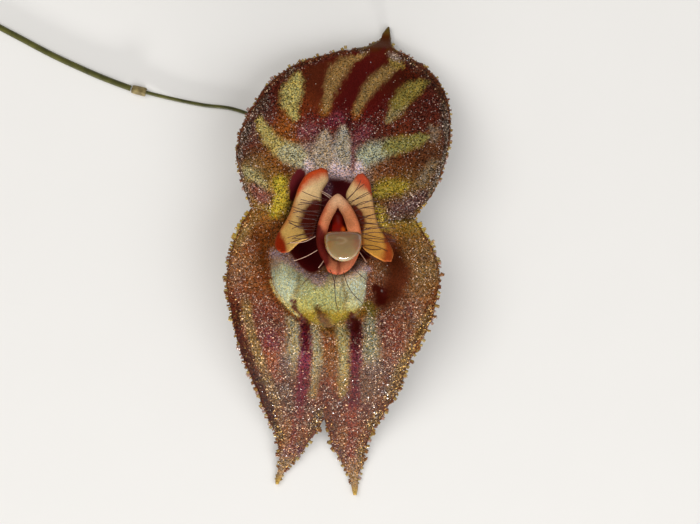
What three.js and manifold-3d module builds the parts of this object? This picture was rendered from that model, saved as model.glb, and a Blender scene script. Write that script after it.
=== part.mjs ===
// A small orchid flower, picked with its ovary and stalk and laid face up.
// Millimetres: +Z leaves the surface it lies on, +Y follows the dorsal sepal, +X is to the flower's right.
// The origin is the flat spot under the ovary.
import * as THREE from "three";
import { mergeVertices } from "three/addons/utils/BufferGeometryUtils.js";
import Module from "manifold-3d";

// Driving dimensions
const faceLevel = 2.32;
const sepalThickness = 0.6;
const petalThickness = 0.6;
const lipThickness = 0.6;
const toothHeight = 0.1;
const toothVariation = 0.3;
const toothlessSteps = 6;
const tipLevel = 0.6;

// Resolution of the sepals
const dorsalRings = 11;
const dorsalSteps = 3;
const lobeColumns = 11;
const lobeSteps = 3;

// The seam where the dorsal sepal meets the synsepal, from neck to neck through the throat
const neckLeft = [-2.8, 0.55];
const seamMiddle = [-0.1, -0.1];
const neckRight = [2.48, 0.2];

// Free edge of the dorsal sepal from the left neck over the tail to the right neck
const dorsalRim = [
  neckLeft, [-2.98, 1.09], [-3.2, 1.79], [-3.23, 2.53], [-3.04, 3.26], [-2.69, 3.94],
  [-2.24, 4.54], [-1.63, 5.02], [-0.9, 5.38], [-0.1, 5.6], [0.64, 5.73], [1.04, 5.84],
  [1.36, 6.08], [1.65, 6.44], [1.7, 6.02], [1.84, 5.7], [2.3, 5.44], [2.88, 5.06],
  [3.3, 4.54], [3.55, 3.84], [3.62, 3.07], [3.52, 2.3], [3.3, 1.57], [3.01, 0.93],
  [2.66, 0.51], neckRight,
];
const tailPoint = 13;

// Synsepal: the middle line down to the fork, then the inner edge of each lobe to its tip
const middleLine = [
  [-0.1, -0.15], [-0.18, -0.6], [-0.24, -1.1], [-0.27, -1.65], [-0.29, -2.25], [-0.31, -2.95],
  [-0.34, -3.75], [-0.37, -4.6], [-0.4, -5.45], [-0.45, -6.3],
];
const leftInner = [
  ...middleLine, [-0.76, -6.8], [-1.1, -7.3], [-1.47, -7.72], [-1.73, -8.02], [-1.88, -8.31], [-1.94, -8.46],
];
const leftOuter = [
  [-2.8, 0.5], [-3.14, -0.13], [-3.42, -0.83], [-3.55, -1.54], [-3.52, -2.27], [-3.38, -3.1],
  [-3.14, -4.03], [-2.87, -4.78], [-2.56, -5.47], [-2.3, -6.2], [-2.05, -6.78], [-1.95, -7.3],
  [-1.9, -7.74], [-1.96, -8.03], [-2.05, -8.31], [-2.04, -8.46],
];
const rightInner = [
  ...middleLine, [-0.31, -6.8], [-0.12, -7.35], [0.16, -7.8], [0.36, -8.17], [0.43, -8.54], [0.49, -8.81],
];
const rightOuter = [
  [2.48, 0.15], [2.85, -0.38], [3.14, -1.02], [3.24, -1.66], [3.2, -2.3], [3.0, -3.05],
  [2.66, -3.8], [2.28, -4.5], [1.94, -5.4], [1.42, -6.25], [1.06, -6.8], [0.88, -7.35],
  [0.84, -7.78], [0.66, -8.17], [0.64, -8.54], [0.6, -8.81],
];

// Relief of the sepals: [x, y, half length, half width, turn in degrees, height]
const throat = { x: -0.24, y: 0, halfWidth: 1.3, halfHeight: 1.62, depth: 1, steepness: 6 };
const dorsalCup = {
  x: 0.35, y: 3.5, halfWidth: 3.4, halfHeight: 2.7, floor: -0.25, rim: 0.3, from: 0.3, to: 2.2,
};
const swellings = [
  [-0.05, 2.05, 1.3, 0.7, 0, 0.22],
  [-1.75, -1.5, 0.55, 0.8, 20, 0.12],
];
const hollows = [
  [1.5, -2.3, 0.42, 0.4, 0, -0.45],
  [0.48, -3.25, 0.26, 0.36, 0, -0.34],
  [-1.1, -3.3, 0.24, 0.4, 0, -0.22],
  [-2.3, -0.7, 0.32, 0.85, 14, -0.35],
  [1.66, -1.1, 0.42, 0.95, -12, -0.4],
];

// The swollen base of the synsepal under the column: its outline, height and rounding
const pillowOutline = [
  [-2.11, -0.9], [-2.24, -1.47], [-2.14, -1.95], [-1.86, -2.43], [-1.38, -2.82], [-1.06, -3.07],
  [-0.64, -3.26], [-0.26, -3.33], [0.22, -3.07], [0.86, -2.75], [1.09, -2.27], [1.02, -1.63],
  [1.0, -1.3], [0.64, -1.25], [0.22, -1.54], [-0.51, -1.8], [-1.12, -1.5], [-1.54, -1.02],
];
const pillowHeight = 0.45;
const pillowRounding = 0.5;
const wings = { middle: -0.1, from: 1.8, to: 3.4, rise: 0.3, low: [-4.2, -2.4], high: [0, 1.6] };

// Both sepals lean back to the surface: the lobes' tips and the bent tail touch it
const recurve = { from: -3.2, to: -8.3 };
const leanBack = { from: 0.8, to: 7.4, drop: 1.5 };
const tailBend = { from: 5.62, to: 6.15 };

// Petals: rows across the blade from the upper tip to the lower tip, [outer x, y, inner x, y]
const petalLeftRows = [
  [-0.52, 1.79, -0.34, 1.72], [-0.98, 1.6, -0.3, 1.42], [-1.25, 1.2, -0.5, 1.02], [-1.38, 0.83, -0.52, 0.7],
  [-1.52, 0.42, -0.58, 0.35], [-1.66, 0.12, -0.72, -0.06], [-1.85, -0.18, -0.84, -0.42],
  [-1.98, -0.42, -1.2, -0.63], [-2.02, -0.66, -1.58, -0.9], [-1.94, -0.84, -1.78, -0.93],
];
const petalRightRows = [
  [0.8, 1.62, 0.62, 1.58], [1.0, 1.38, 0.42, 1.22], [1.08, 1.0, 0.34, 0.9], [1.14, 0.6, 0.47, 0.6],
  [1.2, 0.3, 0.64, 0.26], [1.3, -0.05, 0.78, -0.05], [1.45, -0.32, 0.84, -0.4],
  [1.64, -0.6, 0.9, -0.74], [1.77, -0.95, 1.12, -0.98], [1.7, -1.2, 1.45, -1.2],
];
const petalLevel = 2.66;
const petalTipRise = 0.46;
const petalMiddleY = 0.4;
const petalReach = 1.35;
const petalColumns = 4;
const petalSteps = 2;
const petalClearance = 0.1;
const clawLeft = { x: -0.78, y: 0.1, radius: 0.26, depth: 0.5 };
const clawRight = { x: 0.76, y: 0.1, radius: 0.26, depth: 0.5 };

// Lip: two blades that meet over the column, joined below by the lower lobes
const lipOuter = [
  [0, 0.95], [-0.25, 0.78], [-0.46, 0.45], [-0.64, 0.0], [-0.7, -0.5], [-0.6, -0.95], [-0.42, -1.28],
  [-0.3, -1.53], [0.04, -1.62], [0.38, -1.45], [0.6, -1.12], [0.76, -0.55], [0.69, -0.02], [0.47, 0.48],
  [0.24, 0.78],
];
const lipInner = [
  [-0.01, 0.62], [-0.1, 0.5], [-0.19, 0.25], [-0.3, -0.12], [-0.36, -0.5], [-0.33, -0.82], [-0.24, -1.0],
  [-0.14, -1.14], [0.03, -1.18], [0.2, -1.1], [0.31, -0.86], [0.36, -0.5], [0.27, -0.1], [0.14, 0.28],
  [0.07, 0.5],
];
const lipColumns = 2;
const lipSteps = 2;
const lipLevels = [[-1.6, 3.06], [-0.5, 3.12], [0.2, 3.34], [0.95, 3.62]];

// Column, anther cap and pollinia
const columnProfile = [
  [0, 1.46], [0.3, 1.46], [0.34, 1.6], [0.27, 1.9], [0.23, 2.3], [0.19, 2.6], [0.18, 2.8], [0.21, 2.98],
  [0.18, 3.12], [0, 3.15],
];
const columnPath = [
  [-0.05, -0.1, 1.4], [-0.05, 0.12, 2.2], [-0.02, 0.1, 2.6], [0.02, -0.22, 2.98], [0.1, -0.45, 3.2],
];
const columnSides = 20;
const columnDepth = 1.1;
const anther = {
  x: 0.17, y: -0.52, z: 3.63, halfWidth: 0.6, halfDepth: 0.42, above: 0.28, below: 0.68, squareness: 4,
};
const antherSides = 22;
const antherHollow = { y: -0.2, halfWidth: 0.36, halfHeight: 0.27, halfDepth: 0.22, mouth: 0.17 };
const pollinium = { spread: 0.12, halfWidth: 0.13, halfHeight: 0.19, halfDepth: 0.13 };

// Ovary, pedicel, floral bract and peduncle, all lying on the surface
const ovaryStart = [0.22, -0.42];
const ovaryEnd = [-0.78, 1.12];
const ovaryProfile = [
  [0, 0], [0.2, 0.02], [0.34, 0.16], [0.4, 0.5], [0.39, 0.95], [0.3, 1.4], [0.16, 1.74], [0, 1.8],
];
const ovaryRadius = 0.4;
const ovaryLift = 0.31;
const ovaryRibs = 6;
const ribDepth = 0.035;
const ovarySides = 36;
const pedicelRadius = 0.06;
const pedicelPath = [
  [-0.81, 1.17, 0.31], [-1.1, 1.65, 0.24], [-1.7, 2.5, 0.1], [-2.45, 3.35, 0.065], [-3.4, 3.76, 0.065],
  [-4.42, 3.9, 0.065], [-5.54, 4.13, 0.085], [-6.7, 4.42, 0.14],
];
const pedicelSteps = 36;
const stemSides = 8;
const bractProfile = [
  [0.085, 0], [0.12, 0], [0.14, 0.12], [0.14, 0.3], [0.13, 0.46], [0.1, 0.46], [0.085, 0.3],
];
const bractAt = [-6.71, 4.42, 0.14];
const bractTurn = -14;
const peduncleRadius = 0.095;
const pedunclePath = [
  [-6.76, 4.44, 0.14], [-7.3, 4.64, 0.112], [-7.9, 4.88, 0.098], [-9.3, 5.52, 0.098], [-10.4, 6.1, 0.098],
  [-11.2, 6.52, 0.098],
];
const peduncleSteps = 20;

const wasm = await Module();
wasm.setup();

// small helpers

function smooth(from, to, value) {
  return THREE.MathUtils.smoothstep(value, from, to);
}

function mix(a, b, share) {
  return a.map((value, i) => value + (b[i] - value) * share);
}

// Value of a rule given as sorted [position, value] pairs, smoothed between them
function ruleAt(pairs, position) {
  for (let i = 1; i < pairs.length; i++) {
    if (position <= pairs[i][0] || i === pairs.length - 1) {
      const share = smooth(pairs[i - 1][0], pairs[i][0], position);
      return THREE.MathUtils.lerp(pairs[i - 1][1], pairs[i][1], share);
    }
  }
  return pairs[0][1];
}

// Points along a smooth curve through [x, y] points, a number of steps for each point
function curvePoints(points, stepsEach, closed = false) {
  const places = points.map(([x, y]) => new THREE.Vector3(x, y, 0));
  const curve = new THREE.CatmullRomCurve3(places, closed, "centripetal");
  const spans = closed ? points.length : points.length - 1;
  const count = spans * stepsEach;
  const list = [];
  for (let i = 0; i <= count - (closed ? 1 : 0); i++) {
    const p = curve.getPoint(i / count);
    list.push([p.x, p.y]);
  }
  return list;
}

// Distance from a point to the nearest edge of a closed outline, or 0 outside it
function depthInside(x, y, outline) {
  let inside = false;
  let nearest = Infinity;
  outline.forEach(([bx, by], i) => {
    const [ax, ay] = outline[(i + outline.length - 1) % outline.length];
    const share = ((x - ax) * (bx - ax) + (y - ay) * (by - ay)) / ((bx - ax) ** 2 + (by - ay) ** 2);
    const clamped = THREE.MathUtils.clamp(share, 0, 1);
    nearest = Math.min(nearest, Math.hypot(x - ax - clamped * (bx - ax), y - ay - clamped * (by - ay)));
    if (ay > y !== by > y && x < ax + ((y - ay) * (bx - ax)) / (by - ay)) inside = !inside;
  });
  return inside ? nearest : 0;
}

const pillowEdge = curvePoints(pillowOutline, 3, true);

// relief

function bump(x, y, [cx, cy, halfLength, halfWidth, turn, height]) {
  const angle = THREE.MathUtils.degToRad(turn);
  const along = (x - cx) * Math.cos(angle) + (y - cy) * Math.sin(angle);
  const across = -(x - cx) * Math.sin(angle) + (y - cy) * Math.cos(angle);
  return height * Math.exp(-((along / halfLength) ** 2) - (across / halfWidth) ** 2);
}

// Height of the sepals' inner face above the surface
function sepalTop(x, y) {
  let z = faceLevel;
  const cup = Math.hypot((x - dorsalCup.x) / dorsalCup.halfWidth, (y - dorsalCup.y) / dorsalCup.halfHeight);
  const cupLift = THREE.MathUtils.lerp(dorsalCup.floor, dorsalCup.rim, Math.min(cup, 1.15) ** 2);
  z += cupLift * smooth(dorsalCup.from, dorsalCup.to, y);
  for (const feature of swellings) z += bump(x, y, feature);
  for (const feature of hollows) z += bump(x, y, feature);
  const onPillow = Math.min(depthInside(x, y, pillowEdge) / pillowRounding, 1);
  z += pillowHeight * Math.sin((onPillow * Math.PI) / 2);
  const wing = smooth(wings.from, wings.to, Math.abs(x - wings.middle));
  const wingSpan = smooth(...wings.low, y) * (1 - smooth(...wings.high, y));
  z += wings.rise * wing * wingSpan;
  z -= (faceLevel - tipLevel) * smooth(-recurve.from, -recurve.to, -y);
  z -= leanBack.drop * smooth(leanBack.from, leanBack.to, y);
  z = THREE.MathUtils.lerp(z, tipLevel, smooth(tailBend.from, tailBend.to, y));
  const inThroat = Math.hypot((x - throat.x) / throat.halfWidth, (y - throat.y) / throat.halfHeight);
  const sink = Math.exp(-(inThroat ** throat.steepness));
  const floor = faceLevel - throat.depth;
  return Math.max(THREE.MathUtils.lerp(z, floor, sink), tipLevel);
}

// The outer face lies a full thickness below every point of the inner face
function sepalBottom(x, y) {
  const directions = 12;
  const rings = 4;
  let lowest = sepalTop(x, y) - sepalThickness;
  for (let ring = 1; ring <= rings; ring++) {
    const reach = (sepalThickness * ring) / (rings + 1);
    const drop = Math.sqrt(sepalThickness ** 2 - reach ** 2);
    for (let i = 0; i < directions; i++) {
      const angle = (i / directions) * 2 * Math.PI;
      const z = sepalTop(x + reach * Math.cos(angle), y + reach * Math.sin(angle));
      lowest = Math.min(lowest, z - drop);
    }
  }
  return Math.max(lowest, 0);
}

// blades

// A plan collects points and triangles seen from above, each point once
class Plan {
  constructor() {
    this.points = [];
    this.faces = [];
    this.known = new Map();
  }

  point([x, y]) {
    const key = Math.round(x * 1e5) + "," + Math.round(y * 1e5);
    if (!this.known.has(key)) {
      this.known.set(key, this.points.length);
      this.points.push([x, y]);
    }
    return this.known.get(key);
  }

  triangle(a, b, c) {
    const corners = [a, b, c].map((p) => this.point(p));
    const turn = (b[0] - a[0]) * (c[1] - a[1]) - (b[1] - a[1]) * (c[0] - a[0]);
    if (Math.abs(turn) < 1e-9 || new Set(corners).size < 3) return;
    if (turn < 0) corners.reverse();
    this.faces.push(corners);
  }

  rows(rows) {
    for (let i = 1; i < rows.length; i++) {
      for (let j = 1; j < rows[i].length; j++) {
        this.triangle(rows[i - 1][j - 1], rows[i - 1][j], rows[i][j]);
        this.triangle(rows[i - 1][j - 1], rows[i][j], rows[i][j - 1]);
      }
    }
  }

  // One pointed tooth on each step of an edge, away from the inner points
  teeth(edge, inner, sizeAt) {
    for (let i = 1; i < edge.length; i++) {
      const a = edge[i - 1];
      const b = edge[i];
      const length = Math.hypot(b[0] - a[0], b[1] - a[1]);
      const height = Math.min(toothHeight, length * 0.4) * sizeAt(i / edge.length, i);
      if (height <= 0) continue;
      const middle = mix(a, b, 0.5);
      const normal = [(b[1] - a[1]) / length, (a[0] - b[0]) / length];
      const inside = mix(inner[i - 1], inner[i], 0.5);
      const side = Math.sign(normal[0] * (middle[0] - inside[0]) + normal[1] * (middle[1] - inside[1]));
      this.triangle(a, b, [middle[0] + side * height * normal[0], middle[1] + side * height * normal[1]]);
    }
  }
}

// A solid between two height rules over a plan, with the same triangles above and below
function blade(plan, topAt, bottomAt) {
  const count = plan.points.length;
  const positions = [];
  for (const [x, y] of plan.points) positions.push(x, y, topAt(x, y));
  for (const [x, y] of plan.points) positions.push(x, y, bottomAt(x, y));
  const index = [];
  const edges = new Map();
  for (const [a, b, c] of plan.faces) {
    index.push(a, b, c, count + c, count + b, count + a);
    for (const [p, q] of [[a, b], [b, c], [c, a]]) {
      if (!edges.delete(q + ":" + p)) edges.set(p + ":" + q, [p, q]);
    }
  }
  for (const [p, q] of edges.values()) {
    index.push(q, p, count + p, q, count + p, count + q);
  }
  const geometry = new THREE.BufferGeometry();
  geometry.setAttribute("position", new THREE.Float32BufferAttribute(positions, 3));
  geometry.setIndex(index);
  return geometry;
}

// joins and cuts

function solidOf(geometry) {
  const bare = geometry.clone();
  bare.deleteAttribute("normal");
  bare.deleteAttribute("uv");
  const merged = mergeVertices(bare, 1e-5);
  return new wasm.Manifold(
    new wasm.Mesh({
      numProp: 3,
      vertProperties: new Float32Array(merged.attributes.position.array),
      triVerts: new Uint32Array(merged.index.array),
    }),
  );
}

function geometryOf(solid) {
  const mesh = solid.getMesh();
  const geometry = new THREE.BufferGeometry();
  geometry.setAttribute("position", new THREE.BufferAttribute(mesh.vertProperties, 3));
  geometry.setIndex(new THREE.BufferAttribute(mesh.triVerts, 1));
  return geometry;
}

// Moves each vertex of a geometry by a rule
function reshaped(geometry, rule) {
  const position = geometry.attributes.position;
  for (let i = 0; i < position.count; i++) {
    const [x, y, z] = rule(position.getX(i), position.getY(i), position.getZ(i));
    position.setXYZ(i, x, y, z);
  }
  return geometry;
}

// A closed body turned about Z, from [radius, height] pairs that start and end on the axis
function turned(profile, sides) {
  const points = profile.map(([radius, height]) => new THREE.Vector2(radius, height));
  return new THREE.LatheGeometry(points, sides).rotateX(Math.PI / 2);
}

// A round stem along a list of points
function stem(points, radius, steps) {
  const outline = new THREE.Shape();
  outline.absarc(0, 0, radius, 0, 2 * Math.PI);
  const path = new THREE.CatmullRomCurve3(points.map((p) => new THREE.Vector3(...p)), false, "centripetal");
  const options = { steps, extrudePath: path, curveSegments: stemSides / 2, bevelEnabled: false };
  return new THREE.ExtrudeGeometry(outline, options);
}

// sub-parts

// Teeth along an edge differ a little in size
function toothSize(step) {
  return 0.85 + toothVariation * Math.sin(step * 2.4);
}

function dorsalSepal() {
  const rim = curvePoints(dorsalRim, dorsalSteps);
  const plan = new Plan();
  const rows = rim.map((edge, i) => {
    const share = i / (rim.length - 1);
    const foot = share < 0.5
      ? mix(neckLeft, seamMiddle, share * 2)
      : mix(seamMiddle, neckRight, share * 2 - 1);
    const row = [];
    for (let ring = 0; ring <= dorsalRings; ring++) {
      row.push(mix(foot, edge, (ring / dorsalRings) ** 0.9));
    }
    return row;
  });
  plan.rows(rows);
  const tail = tailPoint * dorsalSteps;
  const size = (share, i) => (Math.abs(i - tail) < toothlessSteps ? 0 : toothSize(i));
  plan.teeth(rim, rows.map((row) => row[0]), size);
  return blade(plan, sepalTop, sepalBottom);
}

function synsepal() {
  const plan = new Plan();
  const middle = (middleLine.length - 1) * lobeSteps;
  for (const [innerPoints, outerPoints] of [[leftInner, leftOuter], [rightInner, rightOuter]]) {
    const inner = [
      ...curvePoints(middleLine, lobeSteps),
      ...curvePoints(innerPoints.slice(middleLine.length - 1), lobeSteps).slice(1),
    ];
    const outer = curvePoints(outerPoints, lobeSteps);
    const rows = inner.map((foot, i) => {
      const row = [];
      for (let column = 0; column <= lobeColumns; column++) {
        row.push(mix(foot, outer[i], column / lobeColumns));
      }
      return row;
    });
    plan.rows(rows);
    plan.teeth(outer, inner, (share, i) => (share > 0.9 ? 0 : toothSize(i)));
    plan.teeth(inner.slice(middle), outer.slice(middle), (share, i) => (share > 0.5 ? 0 : toothSize(i)));
  }
  return blade(plan, sepalTop, sepalBottom);
}

// A petal: two lobes bent forward at their tips, with a claw down to the foot of the column
function petal(rowPairs, claw) {
  const outer = curvePoints(rowPairs.map(([x, y]) => [x, y]), petalSteps);
  const inner = curvePoints(rowPairs.map((row) => [row[2], row[3]]), petalSteps);
  const plan = new Plan();
  const rows = outer.map((edge, i) => {
    const row = [];
    for (let column = 0; column <= petalColumns; column++) {
      row.push(mix(edge, inner[i], column / petalColumns));
    }
    return row;
  });
  plan.rows(rows);
  const topAt = (x, y) => petalLevel + petalTipRise * ((y - petalMiddleY) / petalReach) ** 2;
  const clawAt = (x, y) => bump(x, y, [claw.x, claw.y, claw.radius, claw.radius, 0, claw.depth]);
  const bottomAt = (x, y) => {
    const under = topAt(x, y) - petalThickness - clawAt(x, y);
    return Math.max(under, sepalTop(x, y) + petalClearance);
  };
  return blade(plan, topAt, bottomAt);
}

function lip() {
  const outer = curvePoints(lipOuter, lipSteps, true);
  const inner = curvePoints(lipInner, lipSteps, true);
  const rows = outer.map((edge, i) => {
    const row = [];
    for (let column = 0; column <= lipColumns; column++) row.push(mix(inner[i], edge, column / lipColumns));
    return row;
  });
  const plan = new Plan();
  plan.rows([...rows, rows[0]]);
  const topAt = (x, y) => ruleAt(lipLevels, y);
  return blade(plan, topAt, (x, y) => topAt(x, y) - lipThickness);
}

function column() {
  const curve = new THREE.CatmullRomCurve3(columnPath.map((p) => new THREE.Vector3(...p)));
  const samples = curve.getPoints(60);
  const bend = (x, y, z) => {
    const nearest = samples.reduce((best, p) => (Math.abs(p.z - z) < Math.abs(best.z - z) ? p : best));
    return [x + nearest.x, y * columnDepth + nearest.y, z];
  };
  return reshaped(turned(columnProfile, columnSides), bend);
}

function roundedBody(halfWidth, halfHeight, halfDepth, sides) {
  return new THREE.SphereGeometry(1, sides, Math.round(sides * 0.7)).scale(halfWidth, halfHeight, halfDepth);
}

// The cap's outside: a bowl, round below and squared off above
function antherBowl(sides) {
  return reshaped(roundedBody(1, 1, 1, sides), (x, y, z) => {
    const square = 2 / anther.squareness;
    const widen = y > 0 ? Math.max(Math.hypot(x, z), 1e-6) ** (square - 1) : 1;
    const height = y > 0 ? anther.above * y ** square : anther.below * y;
    return [x * widen * anther.halfWidth, height, z * widen * anther.halfDepth];
  });
}

function antherCap() {
  const hollow = antherHollow;
  const inside = roundedBody(hollow.halfWidth, hollow.halfHeight, hollow.halfDepth, 14);
  inside.translate(0, hollow.y, 0);
  const mouth = new THREE.CylinderGeometry(hollow.mouth, hollow.mouth, anther.halfDepth + 0.1, 12);
  mouth.rotateX(Math.PI / 2).translate(0, hollow.y, -anther.halfDepth / 2 - 0.05);
  const cap = solidOf(antherBowl(antherSides)).subtract(solidOf(inside)).subtract(solidOf(mouth));
  return geometryOf(cap).translate(anther.x, anther.y, anther.z);
}

function pollinia() {
  const pair = [-1, 1].map((side) => {
    const body = roundedBody(pollinium.halfWidth, pollinium.halfHeight, pollinium.halfDepth, 10);
    return solidOf(body.rotateZ(side * 0.3).translate(side * pollinium.spread, 0, 0));
  });
  return geometryOf(pair[0].add(pair[1])).translate(anther.x, anther.y + antherHollow.y, anther.z);
}

function ovary() {
  const body = turned(ovaryProfile, ovarySides);
  const ribbed = reshaped(body, (x, y, z) => {
    const rib = 1 - (ribDepth / ovaryRadius) * (0.5 - 0.5 * Math.cos(ovaryRibs * Math.atan2(y, x)));
    return [x * rib, y * rib, z];
  });
  const heading = Math.atan2(ovaryEnd[1] - ovaryStart[1], ovaryEnd[0] - ovaryStart[0]);
  ribbed.rotateZ(Math.PI / 6).rotateY(Math.PI / 2).rotateZ(heading);
  ribbed.translate(ovaryStart[0], ovaryStart[1], ovaryLift);
  const aboveSurface = new THREE.BoxGeometry(6, 6, 2).translate(0, 0, 1);
  return geometryOf(solidOf(ribbed).intersect(solidOf(aboveSurface)));
}

function floralBract() {
  const closed = [...bractProfile, bractProfile[0]];
  const sheath = turned(closed, 14).rotateY(Math.PI / 2).rotateZ(THREE.MathUtils.degToRad(bractTurn));
  return sheath.translate(...bractAt);
}

// materials

function surface(color, roughness) {
  return new THREE.MeshStandardMaterial({ color, roughness, metalness: 0 });
}

const sepalSurface = surface("#6b3a2e", 0.55);
const synsepalSurface = surface("#8a6a4c", 0.55);
const petalSurface = surface("#e0b070", 0.5);
const lipSurface = surface("#e08a5c", 0.45);
const columnSurface = surface("#6e1a18", 0.35);
const antherSurface = surface("#b5a070", 0.25);
const polliniaSurface = surface("#e0c24a", 0.4);
const stemSurface = surface("#5a5a24", 0.6);
const bractSurface = surface("#6e6230", 0.7);

const pieces = [
  ["dorsal_sepal", dorsalSepal(), sepalSurface],
  ["synsepal", synsepal(), synsepalSurface],
  ["petal_left", petal(petalLeftRows, clawLeft), petalSurface],
  ["petal_right", petal(petalRightRows, clawRight), petalSurface],
  ["lip", lip(), lipSurface],
  ["column", column(), columnSurface],
  ["anther_cap", antherCap(), antherSurface],
  ["pollinia", pollinia(), polliniaSurface],
  ["ovary", ovary(), stemSurface],
  ["pedicel", stem(pedicelPath, pedicelRadius, pedicelSteps), stemSurface],
  ["floral_bract", floralBract(), bractSurface],
  ["peduncle", stem(pedunclePath, peduncleRadius, peduncleSteps), stemSurface],
];

const group = new THREE.Group();
for (const [name, geometry, material] of pieces) {
  const mesh = new THREE.Mesh(geometry, material);
  mesh.name = name;
  group.add(mesh);
}

export default group;
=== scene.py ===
import math

import bmesh
import bpy
import numpy as np
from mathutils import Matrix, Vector


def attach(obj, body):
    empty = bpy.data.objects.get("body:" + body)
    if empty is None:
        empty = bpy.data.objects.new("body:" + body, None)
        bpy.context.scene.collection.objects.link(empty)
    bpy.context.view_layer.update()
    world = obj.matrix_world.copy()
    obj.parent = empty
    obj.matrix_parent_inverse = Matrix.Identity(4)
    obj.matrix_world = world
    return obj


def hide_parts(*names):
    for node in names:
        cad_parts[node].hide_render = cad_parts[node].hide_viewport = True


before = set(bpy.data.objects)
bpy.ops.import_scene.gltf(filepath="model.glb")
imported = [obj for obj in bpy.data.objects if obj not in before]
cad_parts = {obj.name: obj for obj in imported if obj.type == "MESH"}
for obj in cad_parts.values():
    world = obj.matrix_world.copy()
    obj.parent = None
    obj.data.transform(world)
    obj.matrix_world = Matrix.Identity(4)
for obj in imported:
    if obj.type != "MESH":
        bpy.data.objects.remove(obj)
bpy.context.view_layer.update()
mm = 0.001  # everything below is in millimetres until a mesh is made
print("frame loaded:", len(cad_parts), "nodes")


# Small helpers

def smooth(low, high, value):
    share = np.clip((value - low) / (high - low), 0.0, 1.0)
    return share * share * (3 - 2 * share)


def mixed(a, b, share):
    return a + (b - a) * share


def latticeNoise(x, y, scale, seed):
    # smooth noise between -1 and 1, about one wave for each scale
    table = np.random.default_rng(seed).uniform(-1, 1, (256, 256))
    u = x / scale + 71.3
    v = y / scale + 43.7
    column = np.floor(u).astype(int)
    row = np.floor(v).astype(int)
    fu = u - column
    fv = v - row
    fu = fu * fu * (3 - 2 * fu)
    fv = fv * fv * (3 - 2 * fv)
    low = mixed(table[row % 256, column % 256], table[row % 256, (column + 1) % 256], fu)
    high = mixed(table[(row + 1) % 256, column % 256], table[(row + 1) % 256, (column + 1) % 256], fu)
    return mixed(low, high, fv)


def curvePoints(points, count, closed=False):
    # an even walk over a centripetal Catmull-Rom curve through the points
    points = np.array(points, float)
    spans = len(points) if closed else len(points) - 1
    result = []
    for step in range(count):
        place = step / (count if closed else count - 1) * spans
        span = min(int(place), spans - 1)
        t = place - span
        if closed:
            p0, p1, p2, p3 = (points[(span + k) % len(points)] for k in (-1, 0, 1, 2))
        else:
            p1, p2 = points[span], points[span + 1]
            p0 = points[span - 1] if span > 0 else 2 * p1 - p2
            p3 = points[span + 2] if span + 2 < len(points) else 2 * p2 - p1
        d0, d1, d2 = (max(np.linalg.norm(b - a), 1e-6) ** 0.5 for a, b in ((p0, p1), (p1, p2), (p2, p3)))
        m1 = ((p1 - p0) / d0 - (p2 - p0) / (d0 + d1) + (p2 - p1) / d1) * d1
        m2 = ((p2 - p1) / d1 - (p3 - p1) / (d1 + d2) + (p3 - p2) / d2) * d1
        result.append(
            (2 * t**3 - 3 * t**2 + 1) * p1 + (t**3 - 2 * t**2 + t) * m1
            + (3 * t**2 - 2 * t**3) * p2 + (t**3 - t**2) * m2
        )
    return np.array(result)


def depthInside(x, y, outline):
    # distance to the nearest edge of a closed outline, 0 outside it
    inside = np.zeros(x.shape, bool)
    nearest = np.full(x.shape, 1e9)
    for (bx, by), (ax, ay) in zip(outline, np.roll(outline, 1, axis=0)):
        lengthSquared = (bx - ax) ** 2 + (by - ay) ** 2
        share = np.clip(((x - ax) * (bx - ax) + (y - ay) * (by - ay)) / lengthSquared, 0, 1)
        nearest = np.minimum(nearest, np.hypot(x - ax - share * (bx - ax), y - ay - share * (by - ay)))
        crosses = (ay > y) != (by > y)
        across = ax + (y - ay) * (bx - ax) / (by - ay if by != ay else 1e-9)
        inside ^= crosses & (x < across)
    return np.where(inside, nearest, 0.0)


def strokeMask(x, y, stroke, softness=0.45):
    # how far inside a brush stroke a point lies; a stroke is a list of (x, y, half width)
    best = np.full(x.shape, 1e9)
    for (ax, ay, aw), (bx, by, bw) in zip(stroke, stroke[1:]):
        lengthSquared = max((bx - ax) ** 2 + (by - ay) ** 2, 1e-9)
        share = np.clip(((x - ax) * (bx - ax) + (y - ay) * (by - ay)) / lengthSquared, 0, 1)
        distance = np.hypot(x - ax - share * (bx - ax), y - ay - share * (by - ay))
        best = np.minimum(best, distance / mixed(aw, bw, share))
    return 1 - smooth(1 - softness, 1 + softness, best)


def paint(colors, mask, color, strength=1.0):
    share = np.clip(mask * strength, 0, 1)[:, None]
    colors[:] = mixed(colors, np.array(color, float)[None, :], share)


def washes(x, y, blobs):
    # a smooth ground of colour from a few soft blobs of (x, y, radius, colour)
    total = np.full(x.shape, 1e-6)
    colors = np.zeros((len(x), 3))
    for cx, cy, radius, color in blobs:
        weight = np.exp(-((x - cx) ** 2 + (y - cy) ** 2) / radius**2) + 1e-5
        total += weight
        colors += weight[:, None] * np.array(color, float)
    return colors / total[:, None]


def softShare(x, y, blobs):
    # the same for one value: blobs of (x, y, radius, share)
    return washes(x, y, [(*place, (share, 0, 0)) for *place, share in blobs])[:, 0]


# Meshes

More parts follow.
